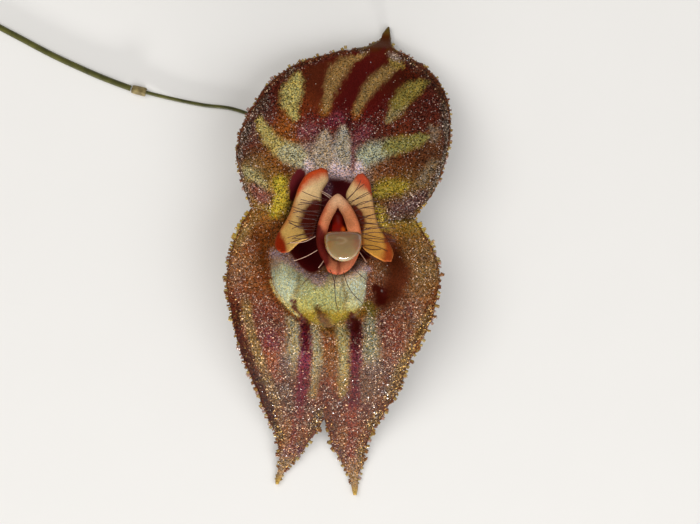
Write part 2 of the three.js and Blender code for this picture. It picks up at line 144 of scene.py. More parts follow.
def makePiece(name, vertices, faces, material, attributes=None, shadeSmooth=True):
    mesh = bpy.data.meshes.new(name)
    mesh.from_pydata((np.asarray(vertices, float) * mm).tolist(), [], [list(map(int, f)) for f in faces])
    for key, values in (attributes or {}).items():
        values = np.asarray(values, float)
        if values.ndim == 2:
            layer = mesh.attributes.new(key, "FLOAT_COLOR", "POINT")
            rgba = np.concatenate([values, np.ones((len(values), 1))], axis=1)
            layer.data.foreach_set("color", rgba.ravel())
        else:
            layer = mesh.attributes.new(key, "FLOAT", "POINT")
            layer.data.foreach_set("value", values)
    mesh.polygons.foreach_set("use_smooth", [shadeSmooth] * len(mesh.polygons))
    mesh.materials.append(material)
    mesh.update()
    piece = bpy.data.objects.new(name, mesh)
    bpy.context.scene.collection.objects.link(piece)
    return piece


def settle(piece, slot, *nodes):
    if nodes:
        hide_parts(*nodes)
    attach(piece, "root")
    print("made", piece.name, len(piece.data.polygons), "faces")


def outward(piece):
    # turns a closed mesh the right way out
    shape = bmesh.new()
    shape.from_mesh(piece.data)
    bmesh.ops.remove_doubles(shape, verts=shape.verts, dist=1e-8)
    bmesh.ops.recalc_face_normals(shape, faces=shape.faces)
    shape.to_mesh(piece.data)
    shape.free()


def gridTriangles(rows, columns):
    # two triangles for each cell of a grid of points stored row by row
    index = np.arange(rows * columns).reshape(rows, columns)
    a, b = index[:-1, :-1].ravel(), index[:-1, 1:].ravel()
    c, d = index[1:, 1:].ravel(), index[1:, :-1].ravel()
    return np.concatenate([np.stack([a, b, c], 1), np.stack([a, c, d], 1)])


def loopQuads(rings, sides, closed=False):
    # quads between rings of points, each ring closed on itself
    quads = []
    for ring in range(rings if closed else rings - 1):
        for side in range(sides):
            nextSide = (side + 1) % sides
            nextRing = (ring + 1) % rings
            quads.append((ring * sides + side, ring * sides + nextSide,
                          nextRing * sides + nextSide, nextRing * sides + side))
    return quads


undersideShade = 0.75  # tone of a blade's underside beside its face


def bladeShell(points, triangles, top, bottom, values):
    # a closed blade over a plan: one point for each place, welded where top and bottom meet
    keys = np.round(points * 1e4).astype(np.int64)
    _, first, inverse = np.unique(keys, axis=0, return_index=True, return_inverse=True)
    inverse = inverse.ravel()
    points, top, bottom = points[first], top[first], bottom[first]
    values = {key: value[first] for key, value in values.items()}
    triangles = inverse[triangles]
    a, b, c = (points[triangles[:, k]] for k in range(3))
    turn = (b[:, 0] - a[:, 0]) * (c[:, 1] - a[:, 1]) - (b[:, 1] - a[:, 1]) * (c[:, 0] - a[:, 0])
    triangles = np.where(turn[:, None] < 0, triangles[:, ::-1], triangles)[np.abs(turn) > 1e-9]
    count = len(points)
    vertices = np.concatenate([np.column_stack([points, top]), np.column_stack([points, bottom])])
    under = np.where(top - bottom < 1e-4, np.arange(count), np.arange(count) + count)
    edges = np.concatenate([triangles[:, [0, 1]], triangles[:, [1, 2]], triangles[:, [2, 0]]])
    forward = edges[:, 0] * count + edges[:, 1]
    border = edges[~np.isin(forward, edges[:, 1] * count + edges[:, 0])]
    p, q = border[:, 0], border[:, 1]
    faces = np.concatenate([
        triangles,
        under[triangles[:, ::-1]],
        np.stack([q, p, under[p]], 1),
        np.stack([q, under[p], under[q]], 1),
    ])
    whole = (faces[:, 0] != faces[:, 1]) & (faces[:, 1] != faces[:, 2]) & (faces[:, 0] != faces[:, 2])
    faces = faces[whole]
    used = np.unique(faces)
    fresh = np.zeros(2 * count, int)
    fresh[used] = np.arange(len(used))
    attributes = {}
    for key, value in values.items():
        below = value * undersideShade if key == "tint" else value
        attributes[key] = np.concatenate([value, below])[used]
    attributes["face"] = np.concatenate([np.ones(count), np.zeros(count)])[used]
    return vertices[used], fresh[faces], attributes


# Geometry node trees

def addSockets(tree, sockets):
    tree.interface.new_socket("Geometry", in_out="INPUT", socket_type="NodeSocketGeometry")
    for label, kind, value in sockets:
        socket = tree.interface.new_socket(label, in_out="INPUT", socket_type=kind)
        if value is not None:
            socket.default_value = value
    tree.interface.new_socket("Geometry", in_out="OUTPUT", socket_type="NodeSocketGeometry")


def bristleTree():
    # tapered bristles on points that carry the attributes aim, size and roll
    tree = bpy.data.node_groups.new("bristlesOnPoints", "GeometryNodeTree")
    addSockets(tree, [
        ("Length", "NodeSocketFloat", 0.1 * mm),
        ("Root Radius", "NodeSocketFloat", 0.03 * mm),
        ("Tip Share", "NodeSocketFloat", 0.3),
        ("Sides", "NodeSocketInt", 6),
        ("Rings", "NodeSocketInt", 4),
        ("Material", "NodeSocketMaterial", None),
    ])
    nodes, links = tree.nodes, tree.links
    inputs = nodes.new("NodeGroupInput")
    outputs = nodes.new("NodeGroupOutput")

    spine = nodes.new("GeometryNodeCurveQuadraticBezier")
    links.new(inputs.outputs["Rings"], spine.inputs["Resolution"])
    middle = nodes.new("ShaderNodeCombineXYZ")
    halfLength = nodes.new("ShaderNodeMath")
    halfLength.operation = "MULTIPLY"
    halfLength.inputs[1].default_value = 0.5
    links.new(inputs.outputs["Length"], halfLength.inputs[0])
    links.new(halfLength.outputs[0], middle.inputs["Z"])
    tip = nodes.new("ShaderNodeCombineXYZ")
    links.new(inputs.outputs["Length"], tip.inputs["Z"])
    spine.inputs["Start"].default_value = (0, 0, 0)
    links.new(middle.outputs[0], spine.inputs["Middle"])
    links.new(tip.outputs[0], spine.inputs["End"])

    along = nodes.new("GeometryNodeSplineParameter")
    power = nodes.new("ShaderNodeMath")
    power.operation = "POWER"
    power.inputs[1].default_value = 2.0
    links.new(along.outputs["Factor"], power.inputs[0])
    taper = nodes.new("ShaderNodeMapRange")
    taper.inputs["To Min"].default_value = 1.0
    links.new(power.outputs[0], taper.inputs["Value"])
    links.new(inputs.outputs["Tip Share"], taper.inputs["To Max"])
    setRadius = nodes.new("GeometryNodeSetCurveRadius")
    links.new(spine.outputs[0], setRadius.inputs["Curve"])
    links.new(taper.outputs[0], setRadius.inputs["Radius"])

    ring = nodes.new("GeometryNodeCurvePrimitiveCircle")
    links.new(inputs.outputs["Sides"], ring.inputs["Resolution"])
    links.new(inputs.outputs["Root Radius"], ring.inputs["Radius"])
    skin = nodes.new("GeometryNodeCurveToMesh")
    skin.inputs["Fill Caps"].default_value = True
    links.new(setRadius.outputs[0], skin.inputs["Curve"])
    links.new(ring.outputs[0], skin.inputs["Profile Curve"])

    aim = nodes.new("GeometryNodeInputNamedAttribute")
    aim.data_type = "FLOAT_VECTOR"
    aim.inputs["Name"].default_value = "aim"
    turn = nodes.new("FunctionNodeAlignRotationToVector")
    turn.axis = "Z"
    links.new(aim.outputs["Attribute"], turn.inputs["Vector"])
    roll = nodes.new("GeometryNodeInputNamedAttribute")
    roll.data_type = "FLOAT"
    roll.inputs["Name"].default_value = "roll"
    spin = nodes.new("FunctionNodeAxisAngleToRotation")
    spin.inputs["Axis"].default_value = (0, 0, 1)
    links.new(roll.outputs["Attribute"], spin.inputs["Angle"])
    rolled = nodes.new("FunctionNodeRotateRotation")
    rolled.rotation_space = "LOCAL"
    links.new(turn.outputs[0], rolled.inputs["Rotation"])
    links.new(spin.outputs[0], rolled.inputs["Rotate By"])
    size = nodes.new("GeometryNodeInputNamedAttribute")
    size.data_type = "FLOAT"
    size.inputs["Name"].default_value = "size"
    place = nodes.new("GeometryNodeInstanceOnPoints")
    links.new(inputs.outputs["Geometry"], place.inputs["Points"])
    links.new(skin.outputs[0], place.inputs["Instance"])
    links.new(rolled.outputs[0], place.inputs["Rotation"])
    links.new(size.outputs["Attribute"], place.inputs["Scale"])
    real = nodes.new("GeometryNodeRealizeInstances")
    links.new(place.outputs[0], real.inputs[0])
    shade = nodes.new("GeometryNodeSetShadeSmooth")
    links.new(real.outputs[0], shade.inputs[0])
    finish = nodes.new("GeometryNodeSetMaterial")
    links.new(shade.outputs[0], finish.inputs["Geometry"])
    links.new(inputs.outputs["Material"], finish.inputs["Material"])
    links.new(finish.outputs[0], outputs.inputs[0])
    return tree


def strandTree():
    # round strands along edges, thickest where the attribute width is 1
    tree = bpy.data.node_groups.new("strandsAlongEdges", "GeometryNodeTree")
    addSockets(tree, [
        ("Radius", "NodeSocketFloat", 0.05 * mm),
        ("Sides", "NodeSocketInt", 8),
        ("Material", "NodeSocketMaterial", None),
    ])
    nodes, links = tree.nodes, tree.links
    inputs = nodes.new("NodeGroupInput")
    outputs = nodes.new("NodeGroupOutput")
    toCurve = nodes.new("GeometryNodeMeshToCurve")
    links.new(inputs.outputs["Geometry"], toCurve.inputs[0])
    width = nodes.new("GeometryNodeInputNamedAttribute")
    width.data_type = "FLOAT"
    width.inputs["Name"].default_value = "width"
    setRadius = nodes.new("GeometryNodeSetCurveRadius")
    links.new(toCurve.outputs[0], setRadius.inputs["Curve"])
    links.new(width.outputs["Attribute"], setRadius.inputs["Radius"])
    ring = nodes.new("GeometryNodeCurvePrimitiveCircle")
    links.new(inputs.outputs["Sides"], ring.inputs["Resolution"])
    links.new(inputs.outputs["Radius"], ring.inputs["Radius"])
    skin = nodes.new("GeometryNodeCurveToMesh")
    skin.inputs["Fill Caps"].default_value = True
    links.new(setRadius.outputs[0], skin.inputs["Curve"])
    links.new(ring.outputs[0], skin.inputs["Profile Curve"])
    real = nodes.new("GeometryNodeRealizeInstances")
    links.new(skin.outputs[0], real.inputs[0])
    shade = nodes.new("GeometryNodeSetShadeSmooth")
    links.new(real.outputs[0], shade.inputs[0])
    finish = nodes.new("GeometryNodeSetMaterial")
    links.new(shade.outputs[0], finish.inputs["Geometry"])
    links.new(inputs.outputs["Material"], finish.inputs["Material"])
    links.new(finish.outputs[0], outputs.inputs[0])
    return tree


def grow(name, tree, carrier, material, **values):
    # runs a tree on a carrier mesh and keeps the result as a plain mesh
    modifier = carrier.modifiers.new("grow", "NODES")
    modifier.node_group = tree
    identifiers = {item.name: item.identifier for item in tree.interface.items_tree
                   if item.item_type == "SOCKET" and item.in_out == "INPUT"}
    for label, value in {**values, "Material": material}.items():
        modifier[identifiers[label.replace("_", " ")]] = value
    bpy.context.view_layer.update()
    evaluated = carrier.evaluated_get(bpy.context.evaluated_depsgraph_get())
    mesh = bpy.data.meshes.new_from_object(evaluated)
    mesh.name = name
    bpy.data.objects.remove(carrier)
    if not mesh.materials:
        mesh.materials.append(material)
    piece = bpy.data.objects.new(name, mesh)
    bpy.context.scene.collection.objects.link(piece)
    return piece


def pointCarrier(points, aims, sizes, rolls, tints=None):
    mesh = bpy.data.meshes.new("carrier")
    mesh.from_pydata((np.asarray(points) * mm).tolist(), [], [])
    aimLayer = mesh.attributes.new("aim", "FLOAT_VECTOR", "POINT")
    aimLayer.data.foreach_set("vector", np.asarray(aims, float).ravel())
    for key, values in (("size", sizes), ("roll", rolls)):
        layer = mesh.attributes.new(key, "FLOAT", "POINT")
        layer.data.foreach_set("value", np.asarray(values, float))
    if tints is not None:
        layer = mesh.attributes.new("tint", "FLOAT_COLOR", "POINT")
        layer.data.foreach_set("color", np.column_stack([tints, np.ones(len(tints))]).ravel())
    carrier = bpy.data.objects.new("carrier", mesh)
    bpy.context.scene.collection.objects.link(carrier)
    return carrier


def strandCarrier(strands):
    # each strand is a list of (x, y, z, width)
    points, edges = [], []
    for strand in strands:
        start = len(points)
        points += [tuple(p) for p in strand]
        edges += [(start + k, start + k + 1) for k in range(len(strand) - 1)]
    points = np.array(points, float)
    mesh = bpy.data.meshes.new("carrier")
    mesh.from_pydata((points[:, :3] * mm).tolist(), edges, [])
    layer = mesh.attributes.new("width", "FLOAT", "POINT")
    layer.data.foreach_set("value", points[:, 3])
    carrier = bpy.data.objects.new("carrier", mesh)
    bpy.context.scene.collection.objects.link(carrier)
    return carrier


# Shader groups and materials

glintShare = 0.32  # share of cells painted as glints where the glint amount is 1
glintRamp = 0.1
hazeShare = 0.12  # how far faint painted glints of the glint colour veil the skin where the glint amount is 1
goldGlint = (0.85, 0.50, 0.14)


def withoutGlints(tint, glintAmount, gold, glint, warmth):
    # darkens the skin between the glints, so that both together keep the painted tone
    shine = mixed(np.array(glint), np.array(goldGlint), np.clip(gold + warmth / 3, 0, 1)[:, None])
    shining = glintAmount * glintShare
    mean = np.where(shining > glintRamp, shining - glintRamp / 2, shining**2 / (2 * glintRamp))[:, None]
    lit = (shine + 1.2 * tint) * 0.5
    haze = glintAmount[:, None] * hazeShare / 3 * shine
    return np.maximum((tint - mean * lit) / (1 - mean) - haze, tint * 0.4)


def cellGroup():
    # one random value for each surface cell: grain, warm or cool shift, and bright glints painted into the
    # colour as highlights
    group = bpy.data.node_groups.new("surfaceCells", "ShaderNodeTree")
    for label, kind, value in (
        ("Tint", "NodeSocketColor", (0.5, 0.2, 0.1, 1)),
        ("Sparkle", "NodeSocketFloat", 1.0),
        ("Glint Amount", "NodeSocketFloat", 0.0),
        ("Cell Size", "NodeSocketFloat", 0.04 * mm),
        ("Grain", "NodeSocketFloat", 1.0),
        ("Warmth", "NodeSocketFloat", 0.4),
        ("Gold", "NodeSocketFloat", 0.0),
        ("Glint Colour", "NodeSocketColor", (0.8, 0.7, 0.62, 1)),
    ):
        socket = group.interface.new_socket(label, in_out="INPUT", socket_type=kind)
        socket.default_value = value
    group.interface.new_socket("Color", in_out="OUTPUT", socket_type="NodeSocketColor")
    group.interface.new_socket("Height", in_out="OUTPUT", socket_type="NodeSocketFloat")
    group.interface.new_socket("Wetness", in_out="OUTPUT", socket_type="NodeSocketFloat")
    nodes, links = group.nodes, group.links
    inputs = nodes.new("NodeGroupInput")
    outputs = nodes.new("NodeGroupOutput")

    def maths(operation, first, second):
        node = nodes.new("ShaderNodeMath")
        node.operation = operation
        for socket, value in zip(node.inputs, (first, second)):
            if isinstance(value, (int, float)):
                socket.default_value = value
            else:
                links.new(value, socket)
        return node.outputs[0]

    def blend(share, first, second):
        node = nodes.new("ShaderNodeMix")
        node.data_type = "RGBA"
        links.new(share, node.inputs["Factor"])
        for label, value in (("A", first), ("B", second)):
            if isinstance(value, tuple):
                node.inputs[label].default_value = value
            else:
                links.new(value, node.inputs[label])
        return node.outputs["Result"]

    place = nodes.new("ShaderNodeTexCoord")
    scale = maths("DIVIDE", 1.0, inputs.outputs["Cell Size"])
    cells = nodes.new("ShaderNodeTexVoronoi")
    cells.voronoi_dimensions = "3D"
    links.new(place.outputs["Object"], cells.inputs["Vector"])
    links.new(scale, cells.inputs["Scale"])
    random = nodes.new("ShaderNodeSeparateColor")
    links.new(cells.outputs["Color"], random.inputs[0])
    red, green, blue = random.outputs

    strength = maths("MULTIPLY", inputs.outputs["Sparkle"], inputs.outputs["Grain"])
    brightness = maths("ADD", 1.0, maths("MULTIPLY", maths("SUBTRACT", red, 0.5), strength))
    shift = maths("MULTIPLY", maths("SUBTRACT", green, 0.5),
                  maths("MULTIPLY", inputs.outputs["Warmth"], inputs.outputs["Sparkle"]))
    factors = nodes.new("ShaderNodeCombineXYZ")
    links.new(maths("MULTIPLY", brightness, maths("ADD", 1.0, shift)), factors.inputs["X"])
    links.new(brightness, factors.inputs["Y"])
    links.new(maths("MULTIPLY", brightness, maths("SUBTRACT", 1.0, maths("MULTIPLY", shift, 2.0))),
              factors.inputs["Z"])
    grained = nodes.new("ShaderNodeVectorMath")
    grained.operation = "MULTIPLY"
    links.new(inputs.outputs["Tint"], grained.inputs[0])
    links.new(factors.outputs[0], grained.inputs[1])

    gold = maths("ADD", maths("MULTIPLY", maths("POWER", green, 2.0), inputs.outputs["Warmth"]),
                 inputs.outputs["Gold"])
    shine = blend(gold, inputs.outputs["Glint Colour"], (*goldGlint, 1))
    veil = nodes.new("ShaderNodeVectorMath")
    veil.operation = "SCALE"
    links.new(shine, veil.inputs[0])
    links.new(maths("MULTIPLY", maths("MULTIPLY", maths("POWER", red, 2.0), hazeShare),
                    inputs.outputs["Glint Amount"]), veil.inputs["Scale"])
    veiled = nodes.new("ShaderNodeVectorMath")
    veiled.operation = "ADD"
    links.new(grained.outputs[0], veiled.inputs[0])
    links.new(veil.outputs[0], veiled.inputs[1])

    # glints: painted highlights, some cells shine from lilac white to gold over the tone of the skin
    glint = nodes.new("ShaderNodeMapRange")
    links.new(blue, glint.inputs["Value"])
    threshold = maths("SUBTRACT", 1.0, maths("MULTIPLY", inputs.outputs["Glint Amount"], glintShare))
    links.new(threshold, glint.inputs["From Min"])
    links.new(maths("ADD", threshold, glintRamp), glint.inputs["From Max"])
    shone = nodes.new("ShaderNodeVectorMath")
    shone.operation = "MULTIPLY_ADD"
    links.new(inputs.outputs["Tint"], shone.inputs[0])
    shone.inputs[1].default_value = (1.2, 1.2, 1.2)
    links.new(shine, shone.inputs[2])
    faded = nodes.new("ShaderNodeVectorMath")
    faded.operation = "SCALE"
    links.new(shone.outputs[0], faded.inputs[0])
    links.new(maths("ADD", 0.2, maths("MULTIPLY", maths("POWER", red, 3.0), 1.2)), faded.inputs["Scale"])
    links.new(blend(glint.outputs[0], veiled.outputs[0], faded.outputs[0]), outputs.inputs["Color"])
    links.new(maths("SUBTRACT", 1.0, cells.outputs["Distance"]), outputs.inputs["Height"])
    links.new(glint.outputs[0], outputs.inputs["Wetness"])
    return group


def newMaterial(name, **uniform):
    material = bpy.data.materials.new(name)
    material.use_nodes = True
    shader = material.node_tree.nodes["Principled BSDF"]
    for label, value in uniform.items():
        shader.inputs[label.replace("_", " ")].default_value = value
    return material, material.node_tree.nodes, material.node_tree.links, shader


def attributeNode(nodes, name):
    node = nodes.new("ShaderNodeAttribute")
    node.attribute_name = name
    return node


def bumpInto(nodes, links, shader, height, strength, distance):
    bump = nodes.new("ShaderNodeBump")
    bump.inputs["Strength"].default_value = strength
    bump.inputs["Distance"].default_value = distance
    links.new(height, bump.inputs["Height"])
    links.new(bump.outputs[0], shader.inputs["Normal"])


def noiseNode(nodes, links, scale, detail=3.0, roughness=0.55):
    place = nodes.new("ShaderNodeTexCoord")
    noise = nodes.new("ShaderNodeTexNoise")
    noise.inputs["Scale"].default_value = scale
    noise.inputs["Detail"].default_value = detail
    noise.inputs["Roughness"].default_value = roughness
    links.new(place.outputs["Object"], noise.inputs["Vector"])
    return noise


def papillateSkin(name, cells, cellSize, grain, warmth, glintColour, **uniform):
    # painted skin covered in small domed cells
    material, nodes, links, shader = newMaterial(name, **uniform)
    group = nodes.new("ShaderNodeGroup")
    group.node_tree = cells
    links.new(attributeNode(nodes, "tint").outputs["Color"], group.inputs["Tint"])
    links.new(attributeNode(nodes, "sparkle").outputs["Fac"], group.inputs["Sparkle"])
    links.new(attributeNode(nodes, "glintAmount").outputs["Fac"], group.inputs["Glint Amount"])
    links.new(attributeNode(nodes, "gold").outputs["Fac"], group.inputs["Gold"])
    group.inputs["Cell Size"].default_value = cellSize * mm
    group.inputs["Grain"].default_value = grain
    group.inputs["Warmth"].default_value = warmth
    group.inputs["Glint Colour"].default_value = (*glintColour, 1)
    links.new(group.outputs["Color"], shader.inputs["Base Color"])
    links.new(group.outputs["Wetness"], shader.inputs["Coat Weight"])
    bumpInto(nodes, links, shader, group.outputs["Height"], 0.35, 0.02 * mm)
    return material


def softSkin(name, cells, grain, **uniform):
    # smooth painted skin with a faint grain
    material, nodes, links, shader = newMaterial(name, **uniform)
    group = nodes.new("ShaderNodeGroup")
    group.node_tree = cells
    links.new(attributeNode(nodes, "tint").outputs["Color"], group.inputs["Tint"])
    group.inputs["Sparkle"].default_value = 1.0
    group.inputs["Cell Size"].default_value = 0.03 * mm
    group.inputs["Grain"].default_value = grain
    group.inputs["Warmth"].default_value = 0.06
    links.new(group.outputs["Color"], shader.inputs["Base Color"])
    bumpInto(nodes, links, shader, group.outputs["Height"], 0.12, 0.008 * mm)
    return material


def mottledSkin(name, dark, light, noiseScale, bump, **uniform):
    # plain plant skin, mottled between two colours
    material, nodes, links, shader = newMaterial(name, **uniform)
    noise = noiseNode(nodes, links, noiseScale)
    ramp = nodes.new("ShaderNodeValToRGB")
    ramp.color_ramp.elements[0].position = 0.35
    ramp.color_ramp.elements[0].color = (*dark, 1)
    ramp.color_ramp.elements[1].position = 0.68
    ramp.color_ramp.elements[1].color = (*light, 1)
    links.new(noise.outputs["Fac"], ramp.inputs["Fac"])
    links.new(ramp.outputs[0], shader.inputs["Base Color"])
    bumpInto(nodes, links, shader, noise.outputs["Fac"], 0.3, bump * mm)
    return material


def glassyCell(name, cells):
    # each dome keeps the tone of the skin below it
    material, nodes, links, shader = newMaterial(name, Roughness=0.2, Coat_Weight=0.6, Coat_Roughness=0.06)
    group = nodes.new("ShaderNodeGroup")
    group.node_tree = cells
    links.new(attributeNode(nodes, "tint").outputs["Color"], group.inputs["Tint"])
    group.inputs["Cell Size"].default_value = 0.03 * mm
    group.inputs["Grain"].default_value = 0.4
    links.new(group.outputs["Color"], shader.inputs["Base Color"])
    return material


surfaceCells = cellGroup()
bristles = bristleTree()
strands = strandTree()

sepalGlint = (0.66, 0.55, 0.50)
lobeGlint = (0.62, 0.47, 0.37)
sepalWarmth = {"dorsal": 0.35, "synsepal": 0.6}
dorsalSkin = papillateSkin("papillateMaroon", surfaceCells, 0.033, 1.9, sepalWarmth["dorsal"], sepalGlint,
                           Roughness=0.5, Specular_IOR_Level=0.1, Coat_Roughness=0.12)
synsepalSkin = papillateSkin("papillateBrown", surfaceCells, 0.033, 1.5, sepalWarmth["synsepal"], lobeGlint,
                             Roughness=0.5, Specular_IOR_Level=0.1, Coat_Roughness=0.12)
petalSkin = softSkin("petalFlesh", surfaceCells, 0.3, Roughness=0.6, Specular_IOR_Level=0.02)
lipSkin = softSkin("lipFlesh", surfaceCells, 0.35, Roughness=0.5, Specular_IOR_Level=0.1)
columnSkin = softSkin("columnGloss", surfaceCells, 0.25, Roughness=0.3, Specular_IOR_Level=0.12)
antherSkin = softSkin("antherWax", surfaceCells, 0.05, Roughness=0.25, Specular_IOR_Level=0.25,
                      Subsurface_Weight=0.5, Subsurface_Scale=0.2 * mm, Coat_Weight=1.0, Coat_Roughness=0.03,
                      Coat_IOR=1.9)
pollenWax = mottledSkin("pollenWax", (0.55, 0.36, 0.05), (0.75, 0.55, 0.12), 9000, 0.01, Roughness=0.35)
ovarySkin = mottledSkin("ovaryOlive", (0.06, 0.065, 0.012), (0.14, 0.15, 0.03), 3500, 0.02, Roughness=0.5)
stalkSkin = mottledSkin("stalkOlive", (0.035, 0.035, 0.005), (0.085, 0.082, 0.012), 2500, 0.01,
                        Roughness=0.45)
bractSkin = mottledSkin("bractPaper", (0.10, 0.07, 0.02), (0.26, 0.20, 0.08), 5000, 0.02, Roughness=0.7)
hairSkin = mottledSkin("hairMaroon", (0.03, 0.005, 0.004), (0.07, 0.014, 0.009), 4000, 0.002, Roughness=0.4)
paleHairSkin = mottledSkin("hairPale", (0.45, 0.24, 0.16), (0.6, 0.42, 0.32), 4000, 0.002, Roughness=0.3)
papillaSkin = glassyCell("glassyPapillae", surfaceCells)
print("materials ready")


# The relief of both sepals

sepalShape = {
    "faceLevel": 2.32,
    "tipLevel": 0.6,
    "throat": (-0.24, 0.04, 1.3, 1.5, 1.0, 6),  # x, y, half width, half height, depth, steepness
    "dorsalCup": (0.35, 3.5, 3.4, 2.7, -0.25, 0.3),  # x, y, half width, half height, floor, rim
    "swellings": [(-0.05, 2.05, 1.3, 0.7, 0, 0.22), (-1.75, -1.5, 0.55, 0.8, 20, 0.12)],
    "hollows": [
        (1.5, -2.3, 0.42, 0.4, 0, -0.45), (0.48, -3.25, 0.26, 0.36, 0, -0.34),
        (-1.1, -3.3, 0.24, 0.4, 0, -0.22), (-2.3, -0.7, 0.32, 0.85, 14, -0.35),
        (1.66, -1.1, 0.42, 0.95, -12, -0.4),
    ],
    "pillowHeight": 0.45,
    "pillowRounding": 0.5,
    "wings": (-0.1, 1.8, 3.4, 0.3),  # middle, from, to, rise
    "recurve": (3.2, 8.3),
    "leanBack": (0.8, 7.4, 1.5),
    "tailBend": (5.62, 6.15),
}

pillowOutline = [
    (-2.11, -0.9), (-2.24, -1.47), (-2.14, -1.95), (-1.86, -2.43), (-1.38, -2.82), (-1.06, -3.07),
    (-0.64, -3.26), (-0.26, -3.33), (0.22, -3.07), (0.80, -2.70), (0.93, -2.22), (0.98, -1.63),
    (0.98, -1.24), (0.62, -1.12), (0.22, -1.34), (-0.46, -1.60), (-1.12, -1.48), (-1.54, -1.02),
]
pillowEdge = curvePoints(pillowOutline, 54, closed=True)


def sepalHeight(x, y):
    shape = sepalShape
    z = np.full(x.shape, shape["faceLevel"])
    cx, cy, halfWidth, halfHeight, floor, rim = shape["dorsalCup"]
    cup = np.hypot((x - cx) / halfWidth, (y - cy) / halfHeight)
    z += mixed(floor, rim, np.minimum(cup, 1.15) ** 2) * smooth(0.3, 2.2, y)
    for bx, by, halfLength, halfWidth, turn, height in shape["swellings"] + shape["hollows"]:
        angle = math.radians(turn)
        along = (x - bx) * math.cos(angle) + (y - by) * math.sin(angle)
        across = -(x - bx) * math.sin(angle) + (y - by) * math.cos(angle)
        z += height * np.exp(-((along / halfLength) ** 2) - (across / halfWidth) ** 2)
    onPillow = np.minimum(depthInside(x, y, pillowEdge) / shape["pillowRounding"], 1)
    z += shape["pillowHeight"] * np.sin(onPillow * math.pi / 2)
    middle, start, end, rise = shape["wings"]
    z += rise * smooth(start, end, np.abs(x - middle)) * smooth(-4.2, -2.4, y) * smooth(1.6, 0, y)
    z -= (shape["faceLevel"] - shape["tipLevel"]) * smooth(*shape["recurve"], -y)
    start, end, drop = shape["leanBack"]
    z -= drop * smooth(start, end, y)
    z = mixed(z, shape["tipLevel"], smooth(*shape["tailBend"], y))
    tx, ty, halfWidth, halfHeight, depth, steepness = shape["throat"]
    inThroat = np.hypot((x - tx) / halfWidth, (y - ty) / halfHeight)
    z = mixed(z, shape["faceLevel"] - depth, np.exp(-(inThroat**steepness)))
    return np.maximum(z, shape["tipLevel"])


def crinkled(line, seed, size=0.045):
    # small irregular waves along an edge, fading out at both ends
    ahead = np.gradient(line, axis=0)
    ahead /= np.linalg.norm(ahead, axis=1)[:, None]
    travelled = np.concatenate([[0], np.cumsum(np.linalg.norm(np.diff(line, axis=0), axis=1))])
    still = np.zeros(len(line))
    wave = 0.6 * latticeNoise(travelled, still, 0.22, seed)
    wave += 0.5 * latticeNoise(travelled, still, 0.1, seed + 1)
    wave *= smooth(0.0, 0.5, np.minimum(travelled, travelled[-1] - travelled)) * size
    return line + np.column_stack([ahead[:, 1], -ahead[:, 0]]) * wave[:, None]


bladeThickness = {"middle": 0.24, "edgeRounding": 0.11, "restDrop": 0.36}

pillowCreases = [  # strokes of (x, y, half width) and depth
    ([(-1.22, -1.62, 0.05), (-1.30, -2.05, 0.08), (-1.42, -2.55, 0.09)], 0.07),
    ([(0.18, -1.72, 0.05), (0.24, -2.10, 0.08), (0.22, -2.65, 0.10)], 0.04),
    ([(-0.70, -2.62, 0.05), (-0.55, -2.90, 0.08), (-0.30, -3.25, 0.10)], 0.06),
]


def restLowering(y):
    # the tips sink through the solid's thickness to the surface
    return bladeThickness["restDrop"] * np.maximum(smooth(3.4, 8.0, -y), smooth(3.4, 6.1, y))


def sepalSurfaces(x, y, edgeDistance, sparkle, seed):
    # top and bottom of a thin sepal
    full = bladeThickness["middle"]
    rounding = np.clip(edgeDistance / bladeThickness["edgeRounding"], 0, 1)
    thickness = full * np.sqrt(1 - (1 - rounding) ** 2)
    grain = np.random.default_rng(seed).normal(0, 0.0065, len(x)) * sparkle * np.clip(rounding * 2 - 1, 0, 1)
    top = sepalHeight(x, y) - restLowering(y) - (full - thickness) * 0.5
    for stroke, depth in pillowCreases:
        top -= depth * strokeMask(x, y, stroke, 0.9)
    return np.maximum(top + grain, 0.004), np.maximum(top - thickness, 0.0)


# The mouth of the flower

# the upper tone is the mouth's own dark red, painted lighter to offset the shade deep inside it
throatTones = [(-0.3, 1.3, 0.7, (0.110, 0.010, 0.013)), (-0.4, -0.9, 1.0, (0.055, 0.003, 0.003))]
throatOutline = [
    (-0.10, 1.50), (-0.62, 1.45), (-1.05, 1.30), (-1.32, 0.90), (-1.48, 0.40), (-1.60, -0.10),
    (-1.66, -0.55), (-1.52, -1.00), (-1.26, -1.38), (-0.92, -1.60), (-0.68, -1.58), (-0.44, -1.40),
    (0.10, -1.25), (0.62, -1.12), (1.05, -1.14), (1.10, -0.60), (0.98, 0.10), (0.82, 0.80), (0.55, 1.32),
]
throatEdge = curvePoints(throatOutline, 72, closed=True)
sideHollow = [(-1.20, 1.62, 0.15), (-1.27, 1.42, 0.23), (-1.36, 1.12, 0.21), (-1.46, 0.84, 0.08)]
throatGlints = [(-0.40, 1.34, 0.10), (-0.34, 1.18, 0.14), (-0.30, 0.98, 0.08)]


def paintThroat(tint, sparkle, glintAmount, x, y, seed):
    # the dark red mouth behind the petals, with a crisp wavering edge
    wx = x + 0.02 * latticeNoise(x, y, 0.25, seed)
    wy = y + 0.02 * latticeNoise(x, y, 0.25, seed + 1)
    dark = smooth(0.0, 0.09, depthInside(wx, wy, throatEdge))
    dark = np.maximum(dark, strokeMask(wx, wy, sideHollow, 0.22))
    tint[:] = mixed(tint, washes(x, y, throatTones), dark[:, None])
    # painted highlight: glints on the glossy dark tissue high in the mouth, painted brighter against its
    # shade
    glitter = strokeMask(x, y, throatGlints, 0.8)
    paint(tint, glitter, (0.340, 0.180, 0.230), 0.8)
    sparkle *= 1 - dark * mixed(0.97, 0.3, glitter)
    glintAmount *= 1 - dark
    glintAmount += glitter * 0.9
    return dark


# Dorsal sepal

